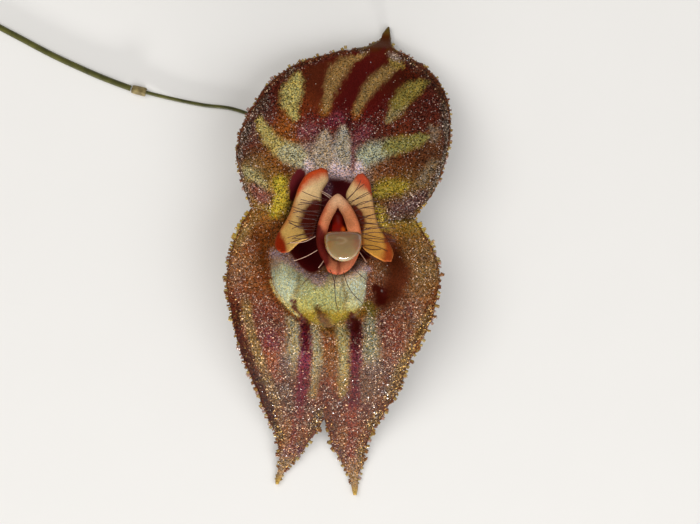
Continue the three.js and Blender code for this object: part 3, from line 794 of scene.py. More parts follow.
dorsalSepal = {
    "neckLeft": (-2.8, 0.55),
    "seamMiddle": (-0.1, -0.1),
    "neckRight": (2.48, 0.2),
    "rim": [
        (-2.8, 0.55), (-2.98, 1.09), (-3.2, 1.79), (-3.23, 2.53), (-3.04, 3.26), (-2.69, 3.94),
        (-2.24, 4.54), (-1.63, 5.02), (-0.9, 5.38), (-0.1, 5.6), (0.64, 5.73), (1.04, 5.84),
        (1.36, 6.08), (1.65, 6.44), (1.7, 6.02), (1.84, 5.7), (2.3, 5.44), (2.88, 5.06),
        (3.3, 4.54), (3.55, 3.84), (3.62, 3.07), (3.52, 2.3), (3.3, 1.57), (3.01, 0.93),
        (2.66, 0.51), (2.48, 0.2),
    ],
    "rimPoints": 426,
    "rings": 84,
    "marginWidth": 0.42,
}

dorsalGround = [  # soft blobs of ground colour: x, y, radius, colour
    (0.75, 4.3, 1.1, (0.067, 0.003, 0.001)), (-0.7, 4.7, 0.6, (0.070, 0.012, 0.003)),
    (-0.9, 3.7, 0.5, (0.122, 0.021, 0.004)), (0.5, 3.3, 0.6, (0.088, 0.006, 0.004)),
    (1.9, 4.7, 0.6, (0.042, 0.005, 0.001)), (2.4, 4.9, 0.5, (0.040, 0.005, 0.001)),
    (-1.8, 3.15, 0.45, (0.215, 0.063, 0.010)), (-2.4, 3.5, 0.45, (0.085, 0.024, 0.014)),
    (-2.2, 4.2, 0.5, (0.062, 0.010, 0.004)), (-2.9, 2.7, 0.5, (0.110, 0.040, 0.018)),
    (-2.0, 1.95, 0.5, (0.175, 0.055, 0.012)), (-2.8, 1.5, 0.5, (0.175, 0.115, 0.050)),
    (2.7, 3.9, 0.5, (0.060, 0.010, 0.002)), (1.8, 3.1, 0.5, (0.100, 0.025, 0.003)),
    (2.7, 3.2, 0.5, (0.080, 0.018, 0.003)), (2.0, 2.05, 0.5, (0.090, 0.025, 0.004)),
    (3.0, 2.1, 0.5, (0.085, 0.032, 0.012)), (1.4, 1.6, 0.4, (0.150, 0.055, 0.012)),
    (-0.4, 3.2, 0.5, (0.095, 0.014, 0.010)), (-2.2, 0.9, 0.7, (0.230, 0.140, 0.028)),
    (2.2, 0.8, 0.7, (0.150, 0.085, 0.018)), (0.0, 1.6, 0.8, (0.300, 0.200, 0.170)),
]

dorsalStripes = [  # strokes of (x, y, half width), colour, softness
    ([(0.29, 3.17, 0.19), (0.22, 3.65, 0.26), (0.35, 4.03, 0.30), (0.54, 4.42, 0.32), (0.83, 4.86, 0.32),
      (1.12, 5.25, 0.26), (1.30, 5.45, 0.18)], (0.062, 0.003, 0.002), 0.4),
    ([(-0.42, 3.58, 0.16), (-0.38, 3.84, 0.19)], (0.210, 0.070, 0.012), 0.6),
    ([(0.58, 3.52, 0.16), (0.64, 3.78, 0.16)], (0.190, 0.060, 0.010), 0.6),
    ([(-0.36, 3.72, 0.11), (-0.34, 4.03, 0.19), (-0.25, 4.35, 0.21), (-0.15, 4.67, 0.25),
      (-0.02, 4.93, 0.29), (0.22, 5.20, 0.23), (0.60, 5.44, 0.11), (0.95, 5.56, 0.06)],
     (0.225, 0.128, 0.042), 0.55),
    ([(0.61, 3.65, 0.11), (0.74, 3.97, 0.16), (0.93, 4.29, 0.19), (1.18, 4.61, 0.21), (1.47, 4.86, 0.21),
      (1.76, 5.09, 0.16), (2.05, 5.22, 0.10)], (0.212, 0.128, 0.042), 0.55),
    ([(1.72, 5.32, 0.09), (1.86, 5.20, 0.14), (2.05, 5.12, 0.08)], (0.200, 0.130, 0.028), 0.8),
    ([(-1.28, 4.83, 0.10), (-1.34, 4.61, 0.22), (-1.47, 4.29, 0.30), (-1.54, 3.97, 0.29),
      (-1.46, 3.68, 0.20), (-1.36, 3.43, 0.09)], (0.360, 0.294, 0.090), 0.5),
    ([(1.66, 3.42, 0.13), (1.83, 3.60, 0.21), (1.98, 3.84, 0.23)], (0.205, 0.150, 0.062), 0.5),
    ([(1.89, 3.84, 0.21), (2.14, 4.13, 0.26), (2.43, 4.35, 0.25), (2.70, 4.51, 0.17), (2.92, 4.58, 0.09)],
     (0.175, 0.132, 0.028), 0.55),
    ([(-2.50, 3.33, 0.10), (-2.37, 3.01, 0.21), (-2.18, 2.69, 0.25), (-1.86, 2.43, 0.27),
      (-1.60, 2.28, 0.29)], (0.352, 0.278, 0.087), 0.55),
    ([(-1.60, 2.28, 0.29), (-1.34, 2.16, 0.32), (-1.05, 1.95, 0.24)], (0.363, 0.326, 0.186), 0.55),
    ([(0.55, 1.92, 0.20), (0.78, 2.10, 0.32), (1.08, 2.30, 0.33), (1.40, 2.38, 0.29), (1.60, 2.42, 0.24)],
     (0.290, 0.292, 0.195), 0.55),
    ([(1.66, 2.44, 0.24), (1.86, 2.48, 0.25), (2.24, 2.57, 0.22), (2.60, 2.69, 0.18), (2.86, 2.75, 0.09)],
     (0.200, 0.172, 0.046), 0.55),
    # lilac white above the mouth, painted brighter than its own tone to offset the shade where the face
    # falls away
    ([(-0.86, 1.82, 0.24), (-0.42, 1.76, 0.38), (0.22, 1.76, 0.34), (0.60, 1.80, 0.24)],
     (0.620, 0.455, 0.460), 0.6),
    ([(-0.48, 2.05, 0.36), (-0.47, 2.40, 0.33), (-0.44, 2.72, 0.24), (-0.42, 2.92, 0.11)],
     (0.345, 0.262, 0.180), 0.55),
    ([(0.16, 2.05, 0.27), (0.15, 2.42, 0.28), (0.15, 2.80, 0.22), (0.16, 3.06, 0.12)],
     (0.305, 0.260, 0.192), 0.55),
    ([(0.45, 1.73, 0.09), (0.48, 2.11, 0.11), (0.48, 2.50, 0.11)], (0.150, 0.055, 0.050), 0.7),
    ([(-2.92, 1.72, 0.13), (-2.62, 1.52, 0.18), (-2.36, 1.24, 0.14)], (0.265, 0.220, 0.095), 0.9),
    ([(-1.84, 1.34, 0.19), (-1.80, 0.93, 0.19), (-1.88, 0.55, 0.18), (-2.06, 0.34, 0.12)],
     (0.370, 0.275, 0.026), 0.5),
    ([(1.09, 1.00, 0.18), (1.50, 1.12, 0.26), (1.90, 1.20, 0.22), (2.16, 1.27, 0.12)],
     (0.235, 0.168, 0.022), 0.7),
    ([(1.25, 0.74, 0.09), (1.75, 0.64, 0.12)], (0.120, 0.048, 0.008), 0.8),
    ([(3.02, 3.10, 0.11), (3.12, 2.95, 0.17), (3.05, 2.70, 0.13)], (0.160, 0.104, 0.066), 0.9),
    ([(3.05, 1.95, 0.12), (2.92, 1.68, 0.18), (2.62, 1.36, 0.15)], (0.170, 0.118, 0.070), 0.9),
    ([(-1.22, 2.91, 0.16), (-0.90, 3.01, 0.22)], (0.180, 0.060, 0.062), 0.9),
    ([(-0.26, 3.26, 0.16), (0.06, 3.39, 0.19)], (0.145, 0.030, 0.038), 0.9),
    ([(0.58, 2.78, 0.16), (0.90, 3.01, 0.19)], (0.170, 0.050, 0.055), 0.9),
    ([(-2.66, 1.12, 0.22), (-2.40, 0.83, 0.28)], (0.165, 0.062, 0.046), 0.7),
    ([(1.80, 0.45, 0.26), (2.25, 0.55, 0.30), (2.72, 0.90, 0.22)], (0.105, 0.055, 0.046), 0.7),
]

marginTones = [  # the speckled band along the rim: x, y, radius, colour, share of glinting cells
    (-3.0, 2.6, 0.9, (0.115, 0.046, 0.020), 0.6), (-2.9, 1.4, 0.9, (0.165, 0.110, 0.056), 0.7),
    (3.3, 3.2, 0.9, (0.098, 0.056, 0.034), 0.75), (3.1, 1.6, 0.9, (0.125, 0.088, 0.046), 0.7),
    (-2.3, 4.3, 0.8, (0.085, 0.020, 0.008), 0.42), (-1.0, 5.1, 0.9, (0.066, 0.017, 0.007), 0.5),
    (0.3, 5.6, 0.7, (0.068, 0.028, 0.012), 0.6), (2.3, 5.3, 0.5, (0.100, 0.038, 0.022), 0.5),
    (3.2, 4.4, 0.7, (0.038, 0.012, 0.004), 0.22),
]

dorsalGlints = [  # soft blobs of glinting cells: x, y, radius, share
    (0.6, 4.4, 1.1, 0.02), (-0.8, 4.4, 0.6, 0.03), (1.9, 4.6, 0.6, 0.03), (-1.5, 4.0, 0.4, 0.10),
    (0.2, 3.15, 0.55, 0.34), (-0.9, 3.0, 0.4, 0.40), (1.1, 2.95, 0.4, 0.38), (1.7, 3.5, 0.4, 0.36),
    (-1.8, 3.1, 0.4, 0.20), (-2.5, 3.4, 0.4, 0.45), (-2.0, 2.0, 0.4, 0.24), (2.4, 3.5, 0.5, 0.22),
    (1.8, 3.0, 0.4, 0.20), (2.0, 2.1, 0.5, 0.22), (0.0, 2.0, 0.7, 0.12), (1.4, 1.6, 0.3, 0.40),
    (-2.4, 0.8, 0.5, 0.36), (2.2, 0.7, 0.5, 0.44), (1.7, 1.2, 0.4, 0.14), (-1.9, 1.1, 0.3, 0.12),
]

tailGlitter = [(1.66, 5.56, 0.10), (1.86, 5.42, 0.14), (2.00, 5.34, 0.08)]
tailTongue = [(1.20, 5.34, 0.20), (1.38, 5.52, 0.14), (1.50, 5.70, 0.06)]

waistStrokes = [  # where the two sepals meet, painted alike on both
    ([(-1.80, 0.86, 0.17), (-1.87, 0.54, 0.19), (-2.02, 0.33, 0.15)], (0.360, 0.255, 0.026), 0.6),
    ([(-2.80, 0.70, 0.07), (-2.76, 0.42, 0.14), (-2.92, 0.10, 0.12)], (0.220, 0.095, 0.014), 0.8),
    ([(-2.50, 0.36, 0.10), (-2.62, 0.30, 0.10)], (0.190, 0.080, 0.014), 0.9),
    ([(1.22, 0.44, 0.16), (1.36, 0.18, 0.19), (1.46, -0.12, 0.15)], (0.370, 0.260, 0.040), 0.7),
    ([(1.62, 0.15, 0.10), (2.30, 0.12, 0.06)], (0.085, 0.048, 0.010), 0.9),
    ([(2.66, 0.52, 0.07), (2.52, 0.14, 0.11), (2.68, -0.10, 0.09)], (0.250, 0.165, 0.022), 0.8),
]


def warped(x, y, seed, grain=0.03):
    jitter = np.random.default_rng(seed).normal(0, grain, (2, len(x)))
    wx = x + 0.045 * latticeNoise(x, y, 0.45, seed) + 0.03 * latticeNoise(x, y, 0.12, seed + 1)
    wy = y + 0.045 * latticeNoise(x, y, 0.45, seed + 2) + 0.03 * latticeNoise(x, y, 0.12, seed + 3)
    return wx + jitter[0], wy + jitter[1]


def paintDorsal(x, y, edgeDistance):
    wx, wy = warped(x, y, 11)
    tint = washes(wx, wy, dorsalGround)
    dark = smooth(0.0, 0.7, latticeNoise(x, y, 0.38, 12)) * smooth(0.02, 0.08, tint[:, 1])
    paint(tint, dark, (0.065, 0.010, 0.003), 0.5)
    stripes = np.zeros(len(x))
    for stroke, color, softness in dorsalStripes:
        mask = strokeMask(wx, wy, stroke, softness)
        paint(tint, mask, color, 0.97)
        stripes = np.maximum(stripes, mask * (color[1] > 0.08))
    glintAmount = softShare(x, y, dorsalGlints)
    glintAmount = mixed(glintAmount, 0.14, stripes * 0.7)
    for stroke, color, softness in waistStrokes:
        paint(tint, strokeMask(wx, wy, stroke, softness), color, 0.9)
    bright = strokeMask(wx, wy, tailGlitter, 0.45)
    band = dorsalSepal["marginWidth"] * (1 + 0.4 * latticeNoise(x, y, 0.6, 17))
    sideways = smooth(1.2, 2.6, np.abs(x - 0.3))
    margin = 1 - smooth(0.25, 1.25, edgeDistance / (band * mixed(0.55, 1.15, sideways)))
    margin *= smooth(0.1, 0.9, y)
    tones = washes(x, y, [place[:4] for place in marginTones])
    tint[:] = mixed(tint, tones, (margin * (1 - 0.5 * stripes))[:, None])
    share = softShare(x, y, [(*place[:3], place[4]) for place in marginTones])
    glintAmount = mixed(glintAmount, share * (1 + 0.5 * latticeNoise(x, y, 0.3, 18)), margin)
    paint(tint, bright, (0.260, 0.190, 0.150), 0.8)
    glintAmount = mixed(glintAmount, 0.9, bright)
    rimLine = 1 - smooth(0.04, 0.16, edgeDistance + 0.05 * latticeNoise(x, y, 0.25, 19))
    paint(tint, rimLine, (0.090, 0.022, 0.006), 0.85)
    glintAmount *= 1 - 0.8 * rimLine
    tail = smooth(5.36, 5.66, y - 0.25 * np.abs(x - 1.5))
    paint(tint, tail, (0.072, 0.015, 0.001))
    fringe = tail * (1 - smooth(0.03, 0.13, edgeDistance))
    paint(tint, np.maximum(fringe, smooth(6.1, 6.35, y)), (0.105, 0.070, 0.012), 0.85)
    paint(tint, strokeMask(x, y, tailTongue, 0.7), (0.070, 0.005, 0.002), 0.95)
    glintAmount *= 1 - 0.95 * tail
    smoothZone = smooth(3.4, 4.0, wy) * smooth(-1.3, -0.7, wx) * smooth(2.4, 1.8, wx) * (1 - margin)
    sparkle = mixed(1.0, mixed(0.2, 0.8, stripes), smoothZone) - 0.6 * tail
    paintThroat(tint, sparkle, glintAmount, x, y, 43)
    gold = margin * smooth(2.8, 4.4, y) * 0.5 + 0.4 * rimLine
    return tint, np.clip(sparkle, 0, 1), np.clip(glintAmount, 0, 1), np.clip(gold, 0, 1)


def buildDorsalSepal():
    part = dorsalSepal
    rim = crinkled(curvePoints(part["rim"], part["rimPoints"]), 23)
    share = np.linspace(0, 1, len(rim))[:, None]
    left, middle, right = (np.array(part[key]) for key in ("neckLeft", "seamMiddle", "neckRight"))
    foot = np.where(share < 0.5, mixed(left, middle, share * 2), mixed(middle, right, share * 2 - 1))
    steps = np.linspace(0, 1, part["rings"] + 1)[None, :, None] ** 0.9
    grid = mixed(foot[:, None, :], rim[:, None, :], steps)
    reach = np.linalg.norm(rim - foot, axis=1)[:, None]
    edgeDistance = ((1 - steps[:, :, 0]) * reach).ravel()
    points = grid.reshape(-1, 2)
    x, y = points[:, 0], points[:, 1]
    tint, sparkle, glintAmount, gold = paintDorsal(x, y, edgeDistance)
    top, bottom = sepalSurfaces(x, y, edgeDistance, sparkle, 21)
    triangles = gridTriangles(len(rim), part["rings"] + 1)
    skin = withoutGlints(tint, glintAmount, gold, sepalGlint, sepalWarmth["dorsal"])
    values = {"tint": skin, "sparkle": sparkle, "glintAmount": glintAmount, "gold": gold}
    vertices, faces, attributes = bladeShell(points, triangles, top, bottom, values)
    piece = makePiece("dorsalSepal", vertices, faces, dorsalSkin, attributes)
    settle(piece, "dorsal_sepal", "dorsal_sepal")
    return rim


# Synsepal

synsepal = {
    "middleLine": [
        (-0.1, -0.15), (-0.18, -0.6), (-0.24, -1.1), (-0.27, -1.65), (-0.29, -2.25), (-0.31, -2.95),
        (-0.34, -3.75), (-0.37, -4.6), (-0.4, -5.45), (-0.45, -6.3),
    ],
    "leftTip": [(-0.76, -6.8), (-1.1, -7.3), (-1.47, -7.72), (-1.73, -8.02), (-1.88, -8.31), (-1.94, -8.46)],
    "leftOuter": [
        (-2.8, 0.5), (-3.14, -0.13), (-3.42, -0.83), (-3.55, -1.54), (-3.52, -2.27), (-3.38, -3.1),
        (-3.14, -4.03), (-2.87, -4.78), (-2.56, -5.47), (-2.3, -6.2), (-2.05, -6.78), (-1.95, -7.3),
        (-1.9, -7.74), (-1.96, -8.03), (-2.05, -8.31), (-2.04, -8.46),
    ],
    "rightTip": [(-0.31, -6.8), (-0.12, -7.35), (0.16, -7.8), (0.36, -8.17), (0.43, -8.54), (0.49, -8.81)],
    "rightOuter": [
        (2.48, 0.15), (2.85, -0.38), (3.14, -1.02), (3.24, -1.66), (3.2, -2.3), (3.0, -3.05),
        (2.66, -3.8), (2.28, -4.5), (1.94, -5.4), (1.42, -6.25), (1.06, -6.8), (0.88, -7.35),
        (0.84, -7.78), (0.66, -8.17), (0.64, -8.54), (0.6, -8.81),
    ],
    "stepsPerPoint": 17,
    "columns": 70,
    "tuck": 0.34,  # how far the base runs on under the dorsal sepal
}

synsepalGround = [
    (-2.9, -0.6, 0.6, (0.215, 0.078, 0.020)), (-2.4, -0.3, 0.4, (0.135, 0.032, 0.007)),
    (-3.2, -1.4, 0.5, (0.205, 0.104, 0.056)), (-2.7, -1.7, 0.5, (0.178, 0.060, 0.018)),
    (-2.9, -2.8, 0.8, (0.182, 0.064, 0.026)), (-2.2, -3.2, 0.6, (0.175, 0.060, 0.036)),
    (-2.0, -3.9, 0.7, (0.190, 0.078, 0.050)), (-2.5, -5.0, 0.8, (0.160, 0.085, 0.034)),
    (-1.8, -6.0, 0.8, (0.160, 0.084, 0.046)), (-1.6, -7.2, 0.7, (0.330, 0.180, 0.088)),
    (2.6, -0.8, 0.5, (0.172, 0.088, 0.034)), (1.9, -0.5, 0.4, (0.120, 0.036, 0.009)),
    (2.8, -1.8, 0.6, (0.190, 0.108, 0.042)), (2.6, -2.9, 0.8, (0.185, 0.075, 0.038)),
    (1.8, -3.8, 0.8, (0.195, 0.085, 0.052)), (1.9, -4.8, 0.7, (0.170, 0.074, 0.036)),
    (1.2, -5.4, 0.6, (0.170, 0.098, 0.056)), (0.9, -6.4, 0.7, (0.185, 0.096, 0.048)),
    (0.4, -7.4, 0.7, (0.310, 0.168, 0.090)), (-0.3, -6.0, 0.6, (0.155, 0.064, 0.030)),
    (-0.3, -4.5, 0.5, (0.168, 0.068, 0.022)), (-2.4, 0.2, 0.5, (0.190, 0.085, 0.018)),
    (2.1, 0.1, 0.5, (0.190, 0.115, 0.022)),
]

synsepalStripes = [
    ([(-0.30, -3.50, 0.16), (-0.22, -3.87, 0.17), (-0.22, -4.51, 0.18), (-0.26, -5.15, 0.16)],
     (0.180, 0.070, 0.022), 0.9),
    ([(-0.80, -3.33, 0.15), (-0.70, -3.87, 0.17), (-0.70, -4.35, 0.17), (-0.77, -4.99, 0.15),
      (-0.86, -5.47, 0.12)], (0.285, 0.230, 0.122), 0.85),
    ([(0.08, -3.33, 0.19), (0.19, -3.87, 0.18), (0.22, -4.35, 0.17), (0.16, -4.99, 0.15),
      (0.13, -5.47, 0.10)], (0.300, 0.240, 0.100), 0.85),
    ([(-1.50, -2.88, 0.14), (-1.36, -3.49, 0.25), (-1.38, -3.97, 0.26), (-1.56, -4.71, 0.18)],
     (0.310, 0.250, 0.135), 0.9),
    ([(1.02, -2.90, 0.16), (1.08, -3.65, 0.27), (1.04, -4.39, 0.22)], (0.225, 0.195, 0.115), 0.9),
    ([(-1.75, -4.50, 0.32), (-1.72, -5.3, 0.32)], (0.160, 0.098, 0.076), 0.9),
    ([(1.15, -4.7, 0.32), (0.98, -5.5, 0.30)], (0.175, 0.115, 0.086), 0.9),
    ([(-2.30, -3.50, 0.24), (-2.12, -3.95, 0.26)], (0.180, 0.056, 0.050), 0.9),
    ([(-2.20, -4.30, 0.24), (-2.05, -4.85, 0.24)], (0.240, 0.082, 0.026), 0.9),
    ([(1.70, -3.20, 0.30), (1.80, -3.70, 0.30)], (0.185, 0.064, 0.038), 0.9),
    ([(-1.06, -3.14, 0.17), (-1.02, -3.71, 0.18), (-1.02, -4.19, 0.19), (-1.09, -4.74, 0.19),
      (-1.12, -5.15, 0.19), (-1.22, -5.63, 0.17), (-1.28, -6.11, 0.13)], (0.135, 0.018, 0.036), 0.65),
    ([(-1.28, -6.11, 0.14), (-1.36, -6.6, 0.12), (-1.5, -7.2, 0.09)], (0.200, 0.070, 0.052), 0.8),
    ([(0.48, -3.07, 0.19), (0.58, -3.55, 0.16), (0.58, -4.03, 0.18), (0.58, -4.51, 0.18),
      (0.54, -4.99, 0.17), (0.51, -5.63, 0.15), (0.45, -6.11, 0.12)], (0.118, 0.017, 0.030), 0.65),
    ([(-1.04, -3.20, 0.12), (-1.00, -3.60, 0.12), (-1.00, -4.00, 0.10)], (0.080, 0.005, 0.014), 0.8),
    ([(0.54, -3.30, 0.14), (0.60, -3.80, 0.11), (0.58, -4.20, 0.09)], (0.075, 0.005, 0.012), 0.8),
    ([(0.45, -6.11, 0.14), (0.42, -6.8, 0.13), (0.42, -7.5, 0.10)], (0.230, 0.080, 0.050), 0.8),
    ([(-1.76, -2.53, 0.13), (-1.12, -2.91, 0.16), (-0.42, -3.20, 0.19), (0.22, -2.94, 0.19),
      (0.93, -2.66, 0.16)], (0.150, 0.092, 0.006), 0.6),
    ([(0.90, -2.62, 0.14), (1.16, -2.78, 0.16)], (0.150, 0.100, 0.012), 0.8),
]

synsepalShadows = [  # stroke, colour, softness, share of glints lost
    ([(1.50, -0.38, 0.19), (1.74, -0.99, 0.33), (1.96, -1.54, 0.42), (1.76, -2.05, 0.42),
      (1.44, -2.43, 0.29)], (0.080, 0.014, 0.004), 0.6, 0.93),
    ([(1.16, -2.06, 0.12), (1.40, -2.22, 0.22), (1.40, -2.45, 0.20)], (0.050, 0.003, 0.001), 0.4, 0.93),
    ([(0.40, -2.93, 0.10), (0.52, -3.06, 0.16), (0.56, -3.34, 0.17)], (0.048, 0.004, 0.002), 0.5, 0.93),
    ([(-1.95, -0.03, 0.16), (-2.20, -0.51, 0.22), (-2.38, -0.99, 0.17), (-2.31, -1.63, 0.10),
      (-2.15, -2.18, 0.08), (-1.74, -2.68, 0.07), (-1.30, -3.05, 0.08)], (0.115, 0.032, 0.006), 0.7, 0.55),
    ([(-1.48, -2.42, 0.06), (-1.34, -2.76, 0.10), (-1.16, -3.00, 0.11), (-0.99, -3.28, 0.11)],
     (0.056, 0.005, 0.005), 0.5, 0.93),
    ([(-0.66, -2.72, 0.09), (-0.54, -2.94, 0.13), (-0.47, -3.12, 0.11)], (0.070, 0.020, 0.003), 0.6, 0.93),
    ([(0.66, -2.92, 0.12), (0.86, -2.88, 0.08)], (0.110, 0.040, 0.004), 0.9, 0.93),
    ([(-0.52, -2.96, 0.15), (-0.36, -3.16, 0.17), (-0.16, -3.44, 0.14)], (0.090, 0.034, 0.004), 0.8, 0.93),
    ([(-0.38, -5.63, 0.04), (-0.42, -6.02, 0.05), (-0.45, -6.24, 0.05)], (0.110, 0.022, 0.008), 0.8, 0.93),
]

# the pillow's ground; the two small darker blobs on its grooves are painted shade, and the two pale blobs
# below the lip are painted light against the lip's shade
pillowTones = [
    (-1.7, -1.8, 0.5, (0.345, 0.356, 0.222)), (-0.5, -2.4, 0.6, (0.350, 0.340, 0.132)),
    (0.6, -2.1, 0.5, (0.420, 0.425, 0.285)), (0.3, -2.8, 0.4, (0.265, 0.215, 0.040)),
    (-1.0, -2.8, 0.4, (0.275, 0.230, 0.050)), (-1.2, -2.1, 0.15, (0.270, 0.250, 0.120)),
    (0.2, -2.2, 0.15, (0.300, 0.280, 0.130)), (-2.05, -1.22, 0.2, (0.270, 0.150, 0.090)),
    (0.0, -1.7, 0.25, (0.560, 0.430, 0.260)), (0.45, -1.5, 0.2, (0.600, 0.440, 0.340)),
]

pillowGrooves = [  # shaded lines between the pillow's three swellings
    [(-1.22, -1.60, 0.04), (-1.28, -2.04, 0.06), (-1.41, -2.36, 0.09), (-1.45, -2.60, 0.09)],
    [(0.14, -1.78, 0.04), (0.25, -2.29, 0.05), (0.21, -2.73, 0.06)],
]

pillowCreamLine = [(-2.17, -1.80, 0.03), (-1.98, -2.24, 0.04), (-1.62, -2.64, 0.045), (-1.26, -2.95, 0.04)]

synsepalGlints = [  # soft blobs of glinting cells: x, y, radius, share
    (-3.0, -0.8, 0.7, 0.44), (-2.3, -0.4, 0.3, 0.10), (-2.9, -2.4, 0.8, 0.46), (-2.0, -3.8, 0.8, 0.40),
    (-2.4, -5.2, 0.8, 0.50), (-1.6, -6.6, 0.8, 0.46), (2.7, -0.9, 0.6, 0.48), (1.9, -0.6, 0.4, 0.16),
    (2.9, -2.4, 0.8, 0.50), (1.9, -3.6, 0.8, 0.40), (1.6, -5.0, 0.8, 0.46), (0.6, -6.8, 0.8, 0.46),
    (-0.3, -4.5, 0.5, 0.30), (-0.3, -5.9, 0.5, 0.36), (-2.3, 0.3, 0.5, 0.30), (2.0, 0.2, 0.5, 0.26),
]

lobeFlecks = [  # noise scale, seed, from, to, colour, strength
    (0.55, 43, 0.0, 0.6, (0.165, 0.102, 0.078), 0.6),
    (0.45, 44, 0.1, 0.7, (0.230, 0.098, 0.034), 0.4),
    (0.50, 45, 0.2, 0.8, (0.180, 0.052, 0.052), 0.4),
]

lobeTips = [(-1.97, -8.43), (0.55, -8.78)]
pitHighlight = (1.42, -2.145, 0.035)  # x, y, radius of a highlight painted as a pale dot in the right pit

pillowRim = [  # the lilac upper edge of the pillow
    [(-2.20, -0.88, 0.11), (-1.85, -1.00, 0.17), (-1.50, -1.20, 0.13), (-1.22, -1.45, 0.09)],
    [(-1.22, -1.45, 0.09), (-0.84, -1.70, 0.12), (-0.58, -1.78, 0.20), (-0.40, -1.66, 0.10)],
    [(0.48, -1.42, 0.10), (0.74, -1.34, 0.16), (0.98, -1.44, 0.11)],
]


def paintSynsepal(x, y, edgeDistance):
    wx, wy = warped(x, y, 31)
    tint = washes(wx, wy, synsepalGround)
    lobes = smooth(-2.4, -3.2, y)
    for scale, seed, low, high, color, strength in lobeFlecks:
        paint(tint, smooth(low, high, latticeNoise(x, y, scale, seed)) * lobes, color, strength)
    stripes = np.zeros(len(x))
    for stroke, color, softness in synsepalStripes:
        mask = strokeMask(wx, wy, stroke, softness)
        paint(tint, mask, color, 0.95)
        stripes = np.maximum(stripes, mask * (color[1] < 0.03))
    glintAmount = softShare(x, y, synsepalGlints)
    glintAmount *= mixed(1.0, 1.2, lobes) * (1 + 0.35 * latticeNoise(x, y, 0.3, 46)) * (1 - 0.5 * stripes)
    lower = smooth(-4.2, -5.2, y) * smooth(-7.5, -6.9, y)
    glintAmount *= 1 - 0.22 * lower
    onPillow = smooth(0.03, 0.14, depthInside(wx * 0.5 + x * 0.5, wy * 0.5 + y * 0.5, pillowEdge))
    tint[:] = mixed(tint, washes(x, y, pillowTones), onPillow[:, None])
    for stroke in pillowGrooves:
        paint(tint, strokeMask(x, y, stroke, 0.9) * onPillow, (0.205, 0.150, 0.055), 0.7)
    # olive along the pillow's lower edge: partly its own olive, partly painted shade on its lower side
    lowEdge = onPillow * smooth(-2.56, -2.86, wy + 0.12 * np.abs(x + 0.4))
    paint(tint, lowEdge, (0.225, 0.145, 0.008), 0.95)
    glintAmount = mixed(glintAmount, 0.16, onPillow)
    lilac = np.zeros(len(x))
    for stroke in pillowRim:
        lilac = np.maximum(lilac, strokeMask(wx, wy, stroke, 0.55))
    paint(tint, lilac, (0.360, 0.235, 0.215), 0.9)
    glintAmount = mixed(glintAmount, 0.45, lilac)
    golden = (1 - smooth(0.15, 0.6, edgeDistance)) * smooth(-0.4, 0.3, latticeNoise(x, y, 0.5, 47))
    golden *= smooth(0.9, 0.3, np.abs(y + 0.2)) + lobes
    paint(tint, golden, (0.250, 0.160, 0.048), 0.75)
    glintAmount += golden * 0.3
    for stroke, color, softness in waistStrokes:
        paint(tint, strokeMask(wx, wy, stroke, softness), color, 0.9)
    rimLine = 1 - smooth(0.04, 0.15, edgeDistance + 0.05 * latticeNoise(x, y, 0.25, 53))
    paint(tint, rimLine, (0.110, 0.034, 0.010), 0.7)
    glintAmount *= 1 - 0.4 * rimLine
    leftEdge = smooth(-1.5, -2.1, x) * smooth(-2.0, -2.8, y) * smooth(-7.0, -6.2, y)
    goldBand = leftEdge * (1 - smooth(0.08, 0.24, np.abs(edgeDistance - 0.52)))
    paint(tint, goldBand, (0.260, 0.165, 0.055), 0.7)
    glintAmount = mixed(glintAmount, 0.8, goldBand * 0.6)
    leftEdge *= 1 - smooth(0.22, 0.38, edgeDistance + 0.08 * latticeNoise(x, y, 0.35, 59))
    paint(tint, leftEdge, (0.052, 0.009, 0.003), 0.9)
    glintAmount *= 1 - 0.6 * leftEdge
    rightEdge = smooth(0.9, 1.3, x) * smooth(-1.6, -2.4, y) * smooth(-7.2, -6.4, y)
    rightEdge *= 1 - smooth(0.14, 0.46, edgeDistance + 0.08 * latticeNoise(x, y, 0.35, 60))
    paint(tint, rightEdge, (0.145, 0.052, 0.010), 0.85)
    for stroke, color, softness, lost in synsepalShadows:
        shadow = strokeMask(wx, wy, stroke, softness)
        paint(tint, shadow, color, 0.95)
        glintAmount *= 1 - lost * shadow
    paint(tint, strokeMask(x, y, pillowCreamLine, 0.7), (0.420, 0.330, 0.120), 0.8)
    tint *= mixed(1.0, 0.86, lobes)[:, None]
    fork = (1 - smooth(0.1, 0.55, edgeDistance)) * smooth(-1.3, -0.9, x) * smooth(0.5, 0.2, x)
    fork *= smooth(-5.6, -6.2, y)
    paint(tint, fork, (0.120, 0.052, 0.034), 0.75)
    tint *= mixed(1.0, np.array((0.74, 0.58, 0.46))[None, :], lower[:, None])
    sparkle = mixed(1.0, 0.62, onPillow)
    for stroke, _, softness, _ in synsepalShadows[:3]:
        sparkle *= 1 - 0.6 * strokeMask(wx, wy, stroke, softness)
    # a painted highlight: a small pale dot in the right pit
    highlightX, highlightY, radius = pitHighlight
    paint(tint, 1 - smooth(0.0, radius, np.hypot(x - highlightX, y - highlightY)), (0.9, 0.85, 0.8), 0.6)
    for tipX, tipY in lobeTips:
        reach = np.hypot(x - tipX, y - tipY)
        paint(tint, 1 - smooth(0.35, 1.2, reach), (0.360, 0.220, 0.110), 0.8)
        paint(tint, 1 - smooth(0.05, 0.36, reach), (0.380, 0.240, 0.050), 0.9)
        sparkle *= mixed(0.4, 1.0, smooth(0.2, 0.6, reach))
        glintAmount *= mixed(0.1, 1.0, smooth(0.2, 0.6, reach))
    paintThroat(tint, sparkle, glintAmount, x, y, 41)
    edgeGold = (1 - smooth(0.1, 0.5, edgeDistance)) * mixed(0.25, 0.6, lobes) * (y < 0.6)
    gold = edgeGold + 0.3 * golden + 0.4 * goldBand + 0.4 * (rightEdge + leftEdge)
    return tint, np.clip(sparkle, 0, 1), np.clip(glintAmount, 0, 1), np.clip(gold * (1 - onPillow), 0, 1)


